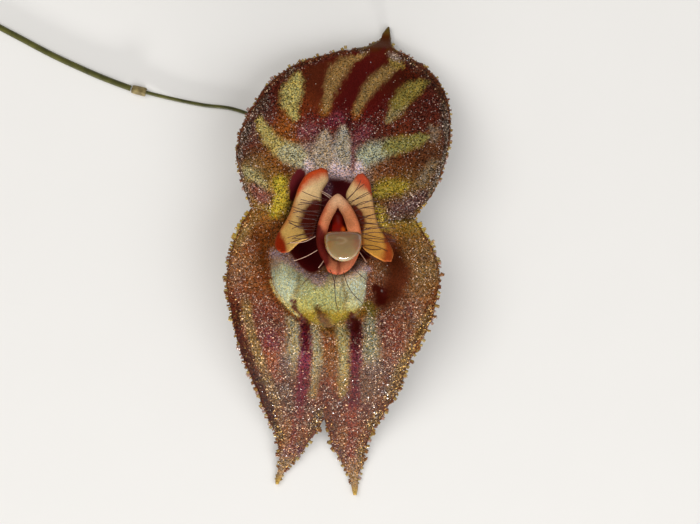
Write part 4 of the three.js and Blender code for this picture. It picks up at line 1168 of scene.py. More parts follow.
def buildSynsepal():
    part = synsepal
    steps = part["stepsPerPoint"]
    middleCount = (len(part["middleLine"]) - 1) * steps + 1
    middle = curvePoints(part["middleLine"], middleCount)
    forkX, forkY = part["middleLine"][-1]
    allPoints, allDistances, allTriangles, allTuck, outers = [], [], [], [], []
    start = 0
    for side in ("left", "right"):
        tipPoints = [part["middleLine"][-1]] + part[side + "Tip"]
        tipEdge = curvePoints(tipPoints, (len(tipPoints) - 1) * steps + 1)
        inner = np.concatenate([middle, crinkled(tipEdge, 24)[1:]])
        outer = crinkled(curvePoints(part[side + "Outer"], len(inner)), 26)
        columns = np.linspace(0, 1, part["columns"] + 1)[None, :, None]
        grid = mixed(inner[:, None, :], outer[:, None, :], columns)
        reach = np.linalg.norm(outer - inner, axis=1)[:, None]
        share = columns[:, :, 0]
        outerDistance = (1 - share) * reach
        free = np.arange(len(inner))[:, None] >= middleCount - 1
        forkDistance = np.hypot(grid[:, :, 0] - forkX, grid[:, :, 1] - forkY)
        innerDistance = np.where(free, share * reach, forkDistance)
        endDistance = np.linalg.norm(grid - grid[-1, part["columns"] // 2], axis=2)
        distance = np.minimum(np.minimum(outerDistance, innerDistance), endDistance)
        distance[-1, :] = 0.0
        # one more row in front, tucked under the dorsal sepal's base
        tuckRow = grid[:1].copy()
        tuckRow[0, :, 1] += part["tuck"] * (1 - share[0] ** 6)
        grid = np.concatenate([tuckRow, grid])
        distance = np.concatenate([distance[:1], distance])
        tuck = np.zeros(grid.shape[:2])
        tuck[0] = 1.0
        allPoints.append(grid.reshape(-1, 2))
        allDistances.append(distance.ravel())
        allTuck.append(tuck.ravel())
        allTriangles.append(gridTriangles(grid.shape[0], grid.shape[1]) + start)
        start += grid.shape[0] * grid.shape[1]
        outers.append((inner, outer))
    points = np.concatenate(allPoints)
    distance = np.concatenate(allDistances)
    tuck = np.concatenate(allTuck)
    x, y = points[:, 0], points[:, 1]
    tint, sparkle, glintAmount, gold = paintSynsepal(x, y, distance)
    top, bottom = sepalSurfaces(x, y, distance, sparkle, 22)
    top = top - 0.28 * tuck
    bottom = np.minimum(bottom, top - 0.05 * tuck)
    skin = withoutGlints(tint, glintAmount, gold, lobeGlint, sepalWarmth["synsepal"])
    values = {"tint": skin, "sparkle": sparkle, "glintAmount": glintAmount, "gold": gold}
    vertices, faces, attributes = bladeShell(points, np.concatenate(allTriangles), top, bottom, values)
    piece = makePiece("synsepalBlade", vertices, faces, synsepalSkin, attributes)
    settle(piece, "synsepal", "synsepal")
    return outers


dorsalRimLine = buildDorsalSepal()
synsepalEdges = buildSynsepal()


# Petals

petals = {
    "left": [
        (-0.52, 1.79, -0.34, 1.72), (-0.98, 1.6, -0.3, 1.42), (-1.25, 1.2, -0.5, 1.02),
        (-1.38, 0.83, -0.52, 0.7), (-1.52, 0.42, -0.58, 0.35), (-1.66, 0.12, -0.72, -0.06),
        (-1.85, -0.18, -0.84, -0.42),
        (-1.98, -0.42, -1.2, -0.58), (-2.02, -0.66, -1.58, -0.9), (-1.94, -0.84, -1.78, -0.93),
    ],
    "right": [
        (0.8, 1.62, 0.62, 1.58), (1.0, 1.38, 0.38, 1.22), (1.08, 1.0, 0.25, 0.9), (1.14, 0.6, 0.37, 0.62),
        (1.2, 0.3, 0.58, 0.26), (1.3, -0.05, 0.68, -0.05), (1.45, -0.32, 0.74, -0.4),
        (1.64, -0.6, 0.80, -0.76), (1.77, -0.95, 1.08, -1.0), (1.7, -1.2, 1.45, -1.2),
    ],
    "level": 2.66,
    "tipRise": 0.46,
    "middleY": 0.4,
    "reach": 1.35,
    "thickness": 0.34,
    "rounding": 0.13,
    "rowSteps": 100,
    "columns": 34,
}


petalPaint = {  # ground blobs of (x, y, radius, colour); strokes with colour, softness, strength
    "left": {
        "ground": [
            (-0.8, 1.3, 0.5, (0.590, 0.410, 0.205)), (-1.1, 0.5, 0.5, (0.520, 0.330, 0.140)),
            (-1.3, -0.2, 0.5, (0.540, 0.330, 0.090)), (-1.6, -0.5, 0.4, (0.540, 0.320, 0.085)),
        ],
        "strokes": [
            ([(-0.26, 1.74, 0.26), (-0.56, 1.82, 0.34), (-0.94, 1.62, 0.30), (-1.22, 1.28, 0.18),
              (-1.38, 0.90, 0.08)], (0.380, 0.038, 0.006), 0.6, 0.98),
            ([(-1.93, -0.18, 0.12), (-1.96, -0.50, 0.25), (-1.87, -0.90, 0.24)],
             (0.205, 0.009, 0.001), 0.5, 0.98),
            ([(-1.36, 0.95, 0.09), (-1.46, 0.55, 0.12), (-1.58, 0.18, 0.11), (-1.78, -0.12, 0.09)],
             (0.430, 0.150, 0.036), 0.8, 0.85),
            ([(-0.70, 0.62, 0.18), (-0.80, 0.36, 0.32), (-0.88, 0.02, 0.33), (-0.84, -0.30, 0.24)],
             (0.055, 0.001, 0.002), 0.35, 0.98),
        ],
    },
    "right": {
        "ground": [
            (0.7, 1.0, 0.5, (0.630, 0.420, 0.190)), (0.95, 0.3, 0.5, (0.600, 0.320, 0.110)),
            (1.2, -0.4, 0.5, (0.680, 0.350, 0.070)), (1.3, -0.9, 0.4, (0.640, 0.300, 0.050)),
        ],
        "strokes": [
            ([(0.62, 1.68, 0.28), (0.78, 1.48, 0.31), (1.00, 1.20, 0.14), (1.09, 0.98, 0.06)],
             (0.390, 0.046, 0.018), 0.6, 0.98),
            ([(1.52, -0.42, 0.08), (1.62, -0.72, 0.16), (1.62, -1.08, 0.26)],
             (0.300, 0.042, 0.010), 0.8, 0.95),
            ([(0.54, 0.50, 0.09), (0.62, 0.28, 0.18), (0.69, 0.02, 0.18), (0.67, -0.20, 0.12)],
             (0.110, 0.006, 0.006), 0.4, 0.95),
        ],
    },
}


def paintPetal(x, y, side, edgeDistance):
    wx, wy = warped(x, y, 61, 0.008)
    tint = washes(x, y, petalPaint[side]["ground"])
    for stroke, color, softness, strength in petalPaint[side]["strokes"]:
        paint(tint, strokeMask(wx, wy, stroke, softness), color, strength)
    paint(tint, 1 - smooth(0.0, 0.08, edgeDistance), (0.420, 0.130, 0.050), 0.25)
    return tint


def buildPetal(side):
    part = petals
    rows = np.array(part[side])
    outer = curvePoints(rows[:, :2], part["rowSteps"])
    inner = curvePoints(rows[:, 2:], part["rowSteps"])
    columns = np.linspace(0, 1, part["columns"])[None, :, None]
    grid = mixed(outer[:, None, :], inner[:, None, :], columns)
    reach = np.linalg.norm(outer - inner, axis=1)[:, None]
    share = columns[:, :, 0]
    sides = np.minimum(share, 1 - share) * reach
    upperEnd, lowerEnd = grid[[0, -1], part["columns"] // 2]
    ends = np.minimum(np.linalg.norm(grid - upperEnd, axis=2), np.linalg.norm(grid - lowerEnd, axis=2))
    distance = np.minimum(sides, ends)
    distance[[0, -1], :] = 0.0
    distance = distance.ravel()
    points = grid.reshape(-1, 2)
    x, y = points[:, 0], points[:, 1]
    across = np.broadcast_to(share, grid.shape[:2]).ravel()
    rounding = np.clip(distance / part["rounding"], 0, 1)
    thickness = part["thickness"] * np.sqrt(1 - (1 - rounding) ** 2)
    spine = part["level"] + part["tipRise"] * ((y - part["middleY"]) / part["reach"]) ** 2
    dished = 0.05 * np.sin(np.pi * across) * (1 - np.abs(y - part["middleY"]) / 1.6)
    lobes = 0.02 * latticeNoise(x, y, 0.35, 67) - dished
    top = spine - part["thickness"] / 2 + thickness / 2 - 0.02 + lobes
    tint = paintPetal(x, y, side, distance)
    triangles = gridTriangles(part["rowSteps"], part["columns"])
    vertices, faces, attributes = bladeShell(points, triangles, top, top - thickness, {"tint": tint})
    name = "petal" + side.capitalize()
    piece = makePiece(name, vertices, faces, petalSkin, attributes)
    settle(piece, "petal", "petal_" + side)


buildPetal("left")
buildPetal("right")


# Lip

lip = {
    "outer": [
        (0, 0.95), (-0.25, 0.78), (-0.46, 0.45), (-0.64, 0.0), (-0.7, -0.5), (-0.6, -0.95),
        (-0.42, -1.28), (-0.3, -1.53), (0.04, -1.62), (0.38, -1.45), (0.6, -1.12), (0.76, -0.55),
        (0.69, -0.02), (0.47, 0.48), (0.24, 0.78),
    ],
    "inner": [
        (0.0, 0.5), (-0.07, 0.38), (-0.18, 0.2), (-0.3, -0.12), (-0.36, -0.5), (-0.33, -0.82),
        (-0.24, -1.0), (-0.14, -1.14), (0.03, -1.18), (0.2, -1.1), (0.31, -0.86), (0.36, -0.5),
        (0.27, -0.1), (0.14, 0.28), (0.06, 0.4),
    ],
    "levels": [(-1.6, 3.06), (-0.5, 3.12), (0.2, 3.34), (0.95, 3.62)],
    "halfThickness": 0.26,
    "stations": 180,
    "sides": 28,
    "squareness": 2.6,
    "tones": [
        (0, 0.8, 0.3, (0.650, 0.390, 0.215)), (-0.3, 0.2, 0.4, (0.500, 0.200, 0.090)),
        (0.35, 0.2, 0.4, (0.494, 0.175, 0.072)), (0.55, -0.3, 0.4, (0.480, 0.150, 0.060)),
        (-0.5, -0.2, 0.3, (0.360, 0.070, 0.026)), (0.0, -1.35, 0.35, (0.370, 0.118, 0.054)),
    ],
    "crimsonAndShade": [(-0.64, -0.12, 0.10), (-0.60, -0.42, 0.26), (-0.54, -0.80, 0.32), (-0.42, -1.20, 0.18)],
}


def lipTop(y):
    level = np.full(np.shape(y), lip["levels"][0][1])
    for (a, low), (b, high) in zip(lip["levels"], lip["levels"][1:]):
        level = np.where(np.asarray(y) > a, mixed(low, high, smooth(a, b, np.asarray(y))), level)
    return level


def buildLip():
    part = lip
    outer = curvePoints(part["outer"], part["stations"], closed=True)
    inner = curvePoints(part["inner"], part["stations"], closed=True)
    angles = np.linspace(0, 2 * math.pi, part["sides"], endpoint=False)
    power = 2 / part["squareness"]
    side = np.sign(np.cos(angles)) * np.abs(np.cos(angles)) ** power
    lift = np.sign(np.sin(angles)) * np.abs(np.sin(angles)) ** power
    middle = (outer + inner) / 2
    half = (outer - inner) / 2
    notch = 1 - 0.35 * np.exp(-(np.hypot(middle[:, 0], middle[:, 1] - 0.8) / 0.1) ** 2)
    notch -= 0.4 * np.exp(-((middle[:, 0] - 0.03) / 0.06) ** 2) * (middle[:, 1] < -1)
    xy = middle[:, None, :] + half[:, None, :] * side[None, :, None]
    top = lipTop(middle[:, 1]) - 0.04
    z = top[:, None] - part["halfThickness"] + part["halfThickness"] * lift[None, :] * notch[:, None]
    z += 0.05 * side[None, :] * smooth(-1.0, -0.6, middle[:, 1])[:, None]
    vertices = np.concatenate([xy, z[:, :, None]], axis=2).reshape(-1, 3)
    acrossShare = np.broadcast_to((side + 1) / 2, z.shape).ravel()
    x, y = vertices[:, 0], vertices[:, 1]
    tint = washes(x, y, part["tones"])
    rimRed = smooth(0.5, 1.0, acrossShare + 0.08 * latticeNoise(x, y, 0.09, 71))
    leftRed = smooth(0.2, -0.2, x) * smooth(0.9, 0.3, y)
    paint(tint, rimRed * mixed(0.35, 1.0, leftRed), (0.380, 0.050, 0.018), 0.8)
    # the lower left of the blades: partly their own dark crimson, partly painted shade
    paint(tint, strokeMask(x, y, part["crimsonAndShade"], 0.5), (0.070, 0.003, 0.002), 0.97)
    paint(tint, (vertices[:, 2] < np.repeat(top, part["sides"]) - 0.32) * 1.0, (0.150, 0.015, 0.008), 0.7)
    # painted shade in the notch between the two lower lobes
    paint(tint, np.exp(-((x - 0.03) / 0.05) ** 2) * (y < -1.0), (0.120, 0.012, 0.008), 0.6)
    quads = loopQuads(part["stations"], part["sides"], closed=True)
    piece = makePiece("lipBlades", vertices, quads, lipSkin, {"tint": tint})
    outward(piece)
    settle(piece, "lip", "lip")
    return outer


lipOuterLine = buildLip()


# Bodies turned about an axis: column, anther cap, pollinia, ovary, bract

def turnedBody(profile, sides, rule):
    # a turned body from (radius, height) pairs, each ring moved by a rule (x, y, z) -> (x, y, z)
    profile = np.array(profile, float)
    angles = np.linspace(0, 2 * math.pi, sides, endpoint=False)
    radius = profile[:, 0][:, None]
    x = (radius * np.cos(angles)).ravel()
    y = (radius * np.sin(angles)).ravel()
    z = np.repeat(profile[:, 1], sides)
    return np.stack(rule(x, y, z), axis=1), loopQuads(len(profile), sides)


def finishTurned(name, vertices, quads, material, attributes, slot, *nodes):
    piece = makePiece(name, vertices, quads, material, attributes)
    outward(piece)
    settle(piece, slot, *nodes)


columnPart = {
    "profile": [(0, 1.46), (0.3, 1.46), (0.34, 1.6), (0.27, 1.9), (0.23, 2.3), (0.19, 2.6), (0.18, 2.8),
                (0.21, 2.98), (0.18, 3.12), (0, 3.15)],
    "path": [(-0.05, -0.1, 1.4), (-0.05, 0.12, 2.2), (-0.02, 0.1, 2.6), (0.02, -0.22, 2.98),
             (0.1, -0.45, 3.2)],
    "sides": 40,
    "spot": (0.20, -0.18, 0.09),
}


def buildColumn():
    part = columnPart
    profile = curvePoints(part["profile"], 90)
    profile[:, 0] = np.maximum(profile[:, 0], 0)
    profile[0, 0] = profile[-1, 0] = 0
    path = curvePoints(part["path"], 200)

    def bend(x, y, z):
        centreX = np.interp(z, path[:, 2], path[:, 0])
        centreY = np.interp(z, path[:, 2], path[:, 1])
        return x + centreX, y * 1.1 + centreY, z

    vertices, quads = turnedBody(profile, part["sides"], bend)
    x, y = vertices[:, 0], vertices[:, 1]
    tint = np.tile(np.array((0.200, 0.007, 0.003)), (len(vertices), 1))
    sx, sy, radius = part["spot"]
    paint(tint, 1 - smooth(0.4, 1.5, np.hypot(x - sx, y - sy) / radius), (0.700, 0.120, 0.008), 0.95)
    finishTurned("columnBody", vertices, quads, columnSkin, {"tint": tint}, "column", "column")


antherPart = {
    "place": (0.17, -0.52, 3.63),
    "half": (0.6, 0.42),
    "above": 0.28,
    "below": 0.68,
    "squareness": 4,
    "frontPower": 3.2,
    "hollowAt": -0.2,
    "hollow": (0.36, 0.27, 0.22),
    "mouthAngle": 0.38,
    "sides": 88,
    # the darker orange-brown top blob is a painted reflection of the lip
    "tones": [
        (0, 0.25, 0.2, (0.175, 0.050, 0.014)), (0, 0.0, 0.25, (0.210, 0.120, 0.036)),
        (0, -0.4, 0.25, (0.215, 0.135, 0.046)), (-0.5, -0.1, 0.15, (0.240, 0.120, 0.020)),
        (0.5, -0.1, 0.15, (0.215, 0.085, 0.028)),
    ],
}


def buildAnther():
    part = antherPart
    cx, cy, cz = part["place"]
    halfX, halfZ = part["half"]
    outside = [(math.sin(a), math.cos(a), 1) for a in np.linspace(0, math.pi - part["mouthAngle"], 60)]
    inside = [(math.sin(a), math.cos(a), 0) for a in np.linspace(math.pi - 0.5, 0, 24)]
    profile = np.array(outside + inside)
    onOutside = np.repeat(profile[:, 2], part["sides"])

    def shape(x, y, z):
        # outside: a bowl, round below and squared off above; inside: a plain rounded hollow
        square = 2 / part["squareness"]
        ring = np.maximum(np.hypot(x, z), 1e-6)
        widen = np.where(y > 0, ring ** (square - 1), 1)
        height = np.where(y > 0, part["above"] * np.abs(y) ** square, part["below"] * y)
        power = part["frontPower"]
        front = (1 - np.clip(np.hypot(x, y), 0, 1) ** power) ** (1 / power)
        depth = np.where((z > 0) & (y <= 0), front, z * widen)
        outer = np.stack([x * widen * halfX, height, depth * halfZ])
        hollow = np.array(part["hollow"])[:, None] * np.stack([x, y, z])
        hollow[1] += part["hollowAt"]
        px, py, pz = np.where(onOutside > 0.5, outer, hollow)
        return px + cx, py + cy, pz + cz

    vertices, quads = turnedBody(profile[:, :2], part["sides"], shape)
    x, y, z = (vertices[:, k] - part["place"][k] for k in range(3))
    tint = washes(x, y, part["tones"])
    rimBand = smooth(0.72, 1.0, np.hypot(x / halfX, np.where(y > 0, y / part["above"], y / part["below"])))
    # painted highlight: a pale band along the lower rim of the cap
    paint(tint, smooth(0.55, 1.0, rimBand) * smooth(-0.1, -0.5, y), (0.560, 0.420, 0.270), 0.5)
    # darker along the top edge
    paint(tint, rimBand * smooth(0.0, 0.2, y), (0.120, 0.035, 0.012), 0.6)
    ring = np.exp(-((np.hypot((x + 0.10) / 2.0, y + 0.02) - 0.09) / 0.03) ** 2) * (z > 0.1)
    paint(tint, ring * smooth(-0.9, 0.5, latticeNoise(x, y, 0.12, 73)), (0.330, 0.230, 0.120), 0.5)
    finishTurned("antherCap", vertices, quads, antherSkin, {"tint": tint}, "anther_cap", "anther_cap")


pollenPart = {"spread": 0.12, "half": (0.13, 0.19, 0.13), "lean": 0.3}


def buildPollinia():
    part = pollenPart
    profile = [(math.sin(a), math.cos(a)) for a in np.linspace(0, math.pi, 24)]
    allVertices, allQuads = [], []
    for side in (-1, 1):
        def shape(x, y, z):
            halfX, halfY, halfZ = part["half"]
            lean = side * part["lean"]
            px, py = x * halfX, y * halfY
            tx = px * math.cos(lean) - py * math.sin(lean) + side * part["spread"]
            ty = px * math.sin(lean) + py * math.cos(lean)
            cx, cy, cz = antherPart["place"]
            return tx + cx, ty + cy + antherPart["hollowAt"], z * halfZ + cz

        vertices, quads = turnedBody(profile, 28, shape)
        start = sum(len(v) for v in allVertices)
        allVertices.append(vertices)
        allQuads += [tuple(start + k for k in quad) for quad in quads]
    vertices = np.concatenate(allVertices)
    finishTurned("polliniaPair", vertices, allQuads, pollenWax, None, "pollinia", "pollinia")


ovaryPart = {
    "start": (0.22, -0.42),
    "end": (-0.78, 1.12),
    "profile": [(0, 0), (0.2, 0.02), (0.34, 0.16), (0.4, 0.5), (0.39, 0.95), (0.3, 1.4), (0.16, 1.74),
                (0, 1.8)],
    "widest": 0.4,
    "lift": 0.31,
    "ribs": 6,
    "ribDepth": 0.05,
    "sides": 96,
}


def buildOvary():
    part = ovaryPart
    profile = curvePoints(part["profile"], 60)
    profile[:, 0] = np.maximum(profile[:, 0], 0)
    profile[0, 0] = profile[-1, 0] = 0
    heading = math.atan2(part["end"][1] - part["start"][1], part["end"][0] - part["start"][0])

    def lay(x, y, z):
        around = np.arctan2(y, x)
        rib = 1 - part["ribDepth"] / part["widest"] * (0.5 - 0.5 * np.cos(part["ribs"] * around)) ** 2
        x, y = x * rib, y * rib
        along, sideways, up = z, y, -x
        px = along * math.cos(heading) - sideways * math.sin(heading) + part["start"][0]
        py = along * math.sin(heading) + sideways * math.cos(heading) + part["start"][1]
        return px, py, np.maximum(up + part["lift"], 0)

    vertices, quads = turnedBody(profile, part["sides"], lay)
    finishTurned("ovaryBody", vertices, quads, ovarySkin, None, "ovary", "ovary")


bractPart = {
    "profile": [(0.085, 0), (0.12, 0), (0.14, 0.12), (0.14, 0.3), (0.13, 0.46), (0.1, 0.46), (0.085, 0.3)],
    "place": (-6.71, 4.42, 0.14),
    "turn": -14,
}


def buildBract():
    part = bractPart
    profile = curvePoints(part["profile"], 42, closed=True)
    turn = math.radians(part["turn"])

    def lay(x, y, z):
        crease = 1 + 0.04 * np.cos(9 * np.arctan2(y, x)) * smooth(0.1, 0.4, z)
        x, y = x * crease, y * crease
        px = z * math.cos(turn) - y * math.sin(turn) + part["place"][0]
        py = z * math.sin(turn) + y * math.cos(turn) + part["place"][1]
        return px, py, -x + part["place"][2]

    closedProfile = np.concatenate([profile, profile[:1]])
    vertices, quads = turnedBody(closedProfile, 40, lay)
    finishTurned("bractSheath", vertices, quads, bractSkin, None, "bract", "floral_bract")


buildColumn()
buildAnther()
buildPollinia()
buildOvary()
buildBract()


# Pedicel and peduncle, as strands along their paths

stalks = {
    "pedicelPath": [
        (-0.81, 1.17, 0.31), (-1.1, 1.65, 0.24), (-1.7, 2.5, 0.1), (-2.45, 3.35, 0.065),
        (-3.4, 3.76, 0.065), (-4.42, 3.9, 0.065), (-5.54, 4.13, 0.085), (-6.7, 4.42, 0.14),
    ],
    "pedicelRadius": 0.06,
    "pedunclePath": [
        (-6.76, 4.44, 0.14), (-7.3, 4.64, 0.112), (-7.9, 4.88, 0.098), (-9.3, 5.52, 0.098),
        (-10.4, 6.1, 0.098), (-11.2, 6.52, 0.098),
    ],
    "peduncleRadius": 0.095,
    "sides": 20,
}


def buildStalk(name, path, radius, node):
    line = curvePoints(path, 140)
    along = np.linspace(0, 1, len(line))
    width = 1 - 0.05 * (0.5 + 0.5 * np.sin(along * 47)) * (0.5 + 0.5 * np.sin(along * 19))
    strand = np.column_stack([line, width])
    carrier = strandCarrier([strand])
    piece = grow(name, strands, carrier, stalkSkin, Radius=radius * mm, Sides=stalks["sides"])
    settle(piece, "stalk", node)


buildStalk("pedicelStalk", stalks["pedicelPath"], stalks["pedicelRadius"], "pedicel")
buildStalk("peduncleStem", stalks["pedunclePath"], stalks["peduncleRadius"], "peduncle")


# Teeth along the free edges of the sepals

teeth = {
    "spacing": 0.055,
    "dorsalLength": 0.09,
    "synsepalLength": 0.13,
    "rootRadius": 0.05,
    "tipShare": 0.1,
    "sink": 0.045,
    "lowest": 0.05,
    "jitter": 0.03,
    "swing": 0.3,
    "sizes": (0.35, 1.15),
    "missing": 0.1,
    "tints": [
        (0.24, 0.14, 0.03), (0.34, 0.24, 0.08), (0.14, 0.04, 0.01), (0.30, 0.18, 0.14),
        (0.18, 0.07, 0.015),
    ],
    "gold": (0.50, 0.34, 0.05),  # at the waist
    "tail": (1.58, 6.15, 0.34),  # x, y and radius of the tail, which has none
    "lobeShare": 0.93,  # how far down the outer edges they go
    "forkSkip": 8,  # edge points left bare at the fork and at the tips
    "tipSkip": 22,
}


def evenAlong(line, spacing):
    steps = np.linalg.norm(np.diff(line, axis=0), axis=1)
    travelled = np.concatenate([[0], np.cumsum(steps)])
    places = np.arange(spacing / 2, travelled[-1], spacing)
    return np.column_stack([np.interp(places, travelled, line[:, k]) for k in range(line.shape[1])])


def edgeTeeth(name, lines, length, slot, seed):
    rng = np.random.default_rng(seed)
    roots, aims, sizes = [], [], []
    for line, inside in lines:
        spots = evenAlong(line, teeth["spacing"])
        ahead = np.roll(spots, -1, axis=0) - np.roll(spots, 1, axis=0)
        ahead[0], ahead[-1] = spots[1] - spots[0], spots[-1] - spots[-2]
        ahead /= np.linalg.norm(ahead, axis=1)[:, None]
        normal = np.column_stack([ahead[:, 1], -ahead[:, 0]])
        flip = np.sign(np.sum(normal * (spots - np.array(inside)), axis=1))
        normal *= flip[:, None]
        spots = spots + rng.normal(0, teeth["jitter"], spots.shape)
        z = sepalHeight(spots[:, 0], spots[:, 1]) - restLowering(spots[:, 1]) - bladeThickness["middle"] / 2
        z = np.maximum(z, teeth["lowest"])
        swing = rng.normal(0, teeth["swing"], len(spots))
        turned = np.column_stack([normal[:, 0] * np.cos(swing) - normal[:, 1] * np.sin(swing),
                                  normal[:, 0] * np.sin(swing) + normal[:, 1] * np.cos(swing)])
        roots.append(np.column_stack([spots - normal * teeth["sink"], z]))
        aims.append(np.column_stack([turned, rng.uniform(-0.1, 0.45, len(spots))]))
        grown = rng.uniform(*teeth["sizes"], len(spots))
        sizes.append(grown * (rng.uniform(0, 1, len(spots)) > teeth["missing"]))
    roots, aims, sizes = np.concatenate(roots), np.concatenate(aims), np.concatenate(sizes)
    kept = sizes > 0
    tints = np.array(teeth["tints"])[rng.integers(0, len(teeth["tints"]), kept.sum())]
    waist = smooth(1.1, 0.5, np.abs(roots[kept, 1] - 0.1)) * rng.uniform(0.4, 1, kept.sum())
    tints = mixed(tints, np.array(teeth["gold"])[None, :], waist[:, None])
    carrier = pointCarrier(roots[kept], aims[kept], sizes[kept], rng.uniform(0, 6.28, kept.sum()), tints)
    piece = grow(name, bristles, carrier, papillaSkin, Length=length * mm,
                 Root_Radius=teeth["rootRadius"] * mm, Tip_Share=teeth["tipShare"], Sides=6, Rings=4)
    settle(piece, slot)


tailX, tailY, tailRadius = teeth["tail"]
tailFree = np.hypot(dorsalRimLine[:, 0] - tailX, dorsalRimLine[:, 1] - tailY) > tailRadius
tailIndex = np.argmax(~tailFree)
afterTail = len(tailFree) - np.argmax(~tailFree[::-1])
edgeTeeth("dorsalTeeth", [(dorsalRimLine[:tailIndex], (0.2, 2.8)), (dorsalRimLine[afterTail:], (0.2, 2.8))],
          teeth["dorsalLength"], "dorsal_sepal", 81)
forkStart = (len(synsepal["middleLine"]) - 1) * synsepal["stepsPerPoint"]
lobeLines = []
for (innerLine, outerLine), insideX in zip(synsepalEdges, (-1.3, 0.8)):
    lobeLines.append((outerLine[:int(len(outerLine) * teeth["lobeShare"])], (insideX, -3.0)))
    lobeLines.append((innerLine[forkStart + teeth["forkSkip"]:-teeth["tipSkip"]], (insideX, -6.6)))
edgeTeeth("synsepalTeeth", lobeLines, teeth["synsepalLength"], "synsepal", 82)


# Domed surface cells that catch the light

papillae = {
    "radius": 0.016,
    "length": 0.024,
    "tipShare": 0.45,
    "sink": 0.008,
    "sizes": (0.6, 1.25),
    "dorsalCount": 1800,
    "synsepalCount": 2200,
    "gleam": (0.44, 0.36, 0.30),
}


def readValues(data, key, count, width=1):
    values = np.empty(count * width)
    data.foreach_get(key, values)
    return values.reshape(-1, width) if width > 1 else values


def onSepal(name, source, count, slot, seed):
    # scatters domes over the upper face of a sepal, where its sparkle is strong
    rng = np.random.default_rng(seed)
    mesh = bpy.data.objects[source].data
    total = len(mesh.vertices)
    places = readValues(mesh.vertices, "co", total, 3) / mm
    normals = readValues(mesh.vertices, "normal", total, 3)
    glintAmount = readValues(mesh.attributes["glintAmount"].data, "value", total)
    face = readValues(mesh.attributes["face"].data, "value", total)
    upper = (face > 0.5) & (normals[:, 2] > 0.3) & (places[:, 2] > 0.05)
    chance = np.where(upper, np.clip(glintAmount, 0, 1) ** 1.3, 0)
    key = np.round(places[:, :2] / 0.1).astype(int)
    _, inverse, counts = np.unique(key, axis=0, return_inverse=True, return_counts=True)
    cellArea = 1.0 / counts[inverse.ravel()]  # evens out the denser parts of the grid
    chance = chance * cellArea
    chosen = rng.choice(total, size=count, replace=False, p=chance / chance.sum())
    tints = readValues(mesh.attributes["tint"].data, "color", total, 4)[chosen, :3]
    # painted highlight: some domes are brightened toward a pale gleam
    light = rng.uniform(0, 1, count)[:, None] ** 2
    tints = tints * (1.0 + 0.8 * light) + light * np.array(papillae["gleam"])[None, :]
    aims = normals[chosen] + rng.normal(0, 0.12, (count, 3))
    roots = places[chosen] - normals[chosen] * papillae["sink"]
    sizes = rng.uniform(*papillae["sizes"], count)
    carrier = pointCarrier(roots, aims, sizes, rng.uniform(0, 6.28, count), tints)
    piece = grow(name, bristles, carrier, papillaSkin, Length=papillae["length"] * mm,
                 Root_Radius=papillae["radius"] * mm, Tip_Share=papillae["tipShare"], Sides=6, Rings=3)
    settle(piece, slot)


onSepal("dorsalPapillae", "dorsalSepal", papillae["dorsalCount"], "dorsal_sepal", 91)
onSepal("synsepalPapillae", "synsepalBlade", papillae["synsepalCount"], "synsepal", 92)


# Long hairs of the lip

hairs = {"radius": 0.011, "points": 9, "leftLift": 0.08}

leftHairs = [  # height, x, y, length and lean of each pair
    (3.2, -0.34, 0.74, 0.75, 0.15), (3.15, -0.42, 0.58, 0.85, 0.05), (3.1, -0.48, 0.42, 0.9, 0.0),
    (3.08, -0.54, 0.28, 0.95, -0.05), (3.05, -0.58, 0.12, 0.95, -0.04), (3.0, -0.62, -0.02, 0.95, 0.0),
    (2.98, -0.66, -0.16, 1.0, 0.02), (2.96, -0.68, -0.3, 0.95, -0.1), (2.94, -0.70, -0.42, 0.9, -0.16),
]

rightHairs = [
    (3.3, 0.30, 0.80, 0.8, 0.75), (3.25, 0.38, 0.68, 0.85, 0.45), (3.2, 0.46, 0.52, 0.85, 0.28),
    (3.15, 0.52, 0.40, 0.9, 0.15), (3.1, 0.58, 0.26, 0.95, 0.08), (3.06, 0.64, 0.12, 0.95, 0.0),
    (3.02, 0.68, -0.02, 1.0, -0.05), (3.0, 0.72, -0.16, 1.0, -0.12), (2.98, 0.74, -0.32, 1.0, -0.18),
    (2.96, 0.76, -0.48, 0.95, -0.1), (2.94, 0.74, -0.64, 0.85, -0.3), (2.94, 0.70, -0.8, 0.7, -0.55),
]

lowerHairs = [  # root, tip, sag
    ((-0.26, -1.46, 3.0), (-0.09, -2.04, 3.12), 0.06), ((-0.09, -2.04, 3.12), (0.02, -2.80, 3.05), -0.05),
    ((0.02, -1.56, 3.0), (-0.10, -2.06, 3.1), -0.12), ((0.18, -1.54, 3.0), (0.80, -2.54, 3.05), -0.10),
    ((0.44, -1.34, 3.0), (0.98, -1.84, 3.02), -0.04), ((-0.52, -1.42, 2.95), (-1.14, -1.94, 3.06), -0.05),
]

paleHairs = [
    ((-0.72, -0.40, 3.05), (-1.52, -0.60, 3.25), 0.10), ((-0.66, -0.84, 3.0), (-1.40, -1.18, 3.1), 0.04),
    ((-0.46, -1.18, 2.95), (-0.62, -1.40, 3.0), 0.02), ((0.68, -0.90, 3.0), (0.90, -1.22, 3.05), 0.03),
    ((-0.56, 1.06, 3.1), (-0.18, 0.84, 3.2), 0.02), ((-0.50, 0.98, 3.1), (-0.24, 0.80, 3.2), 0.02),
]


def hairLine(root, tip, rise, sag, width=1.0):
    # a hair from root to tip, lifted in its middle and narrowing to a point
    root, tip = np.array(root, float), np.array(tip, float)
    line = []
    for k in range(hairs["points"]):
        share = k / (hairs["points"] - 1)
        spot = mixed(root, tip, share)
        spot[2] += rise * math.sin(share * math.pi)
        side = np.array([-(tip - root)[1], (tip - root)[0], 0])
        spot += side * sag * math.sin(share * math.pi)
        line.append((*spot, width * (1 - 0.75 * share)))
    return line


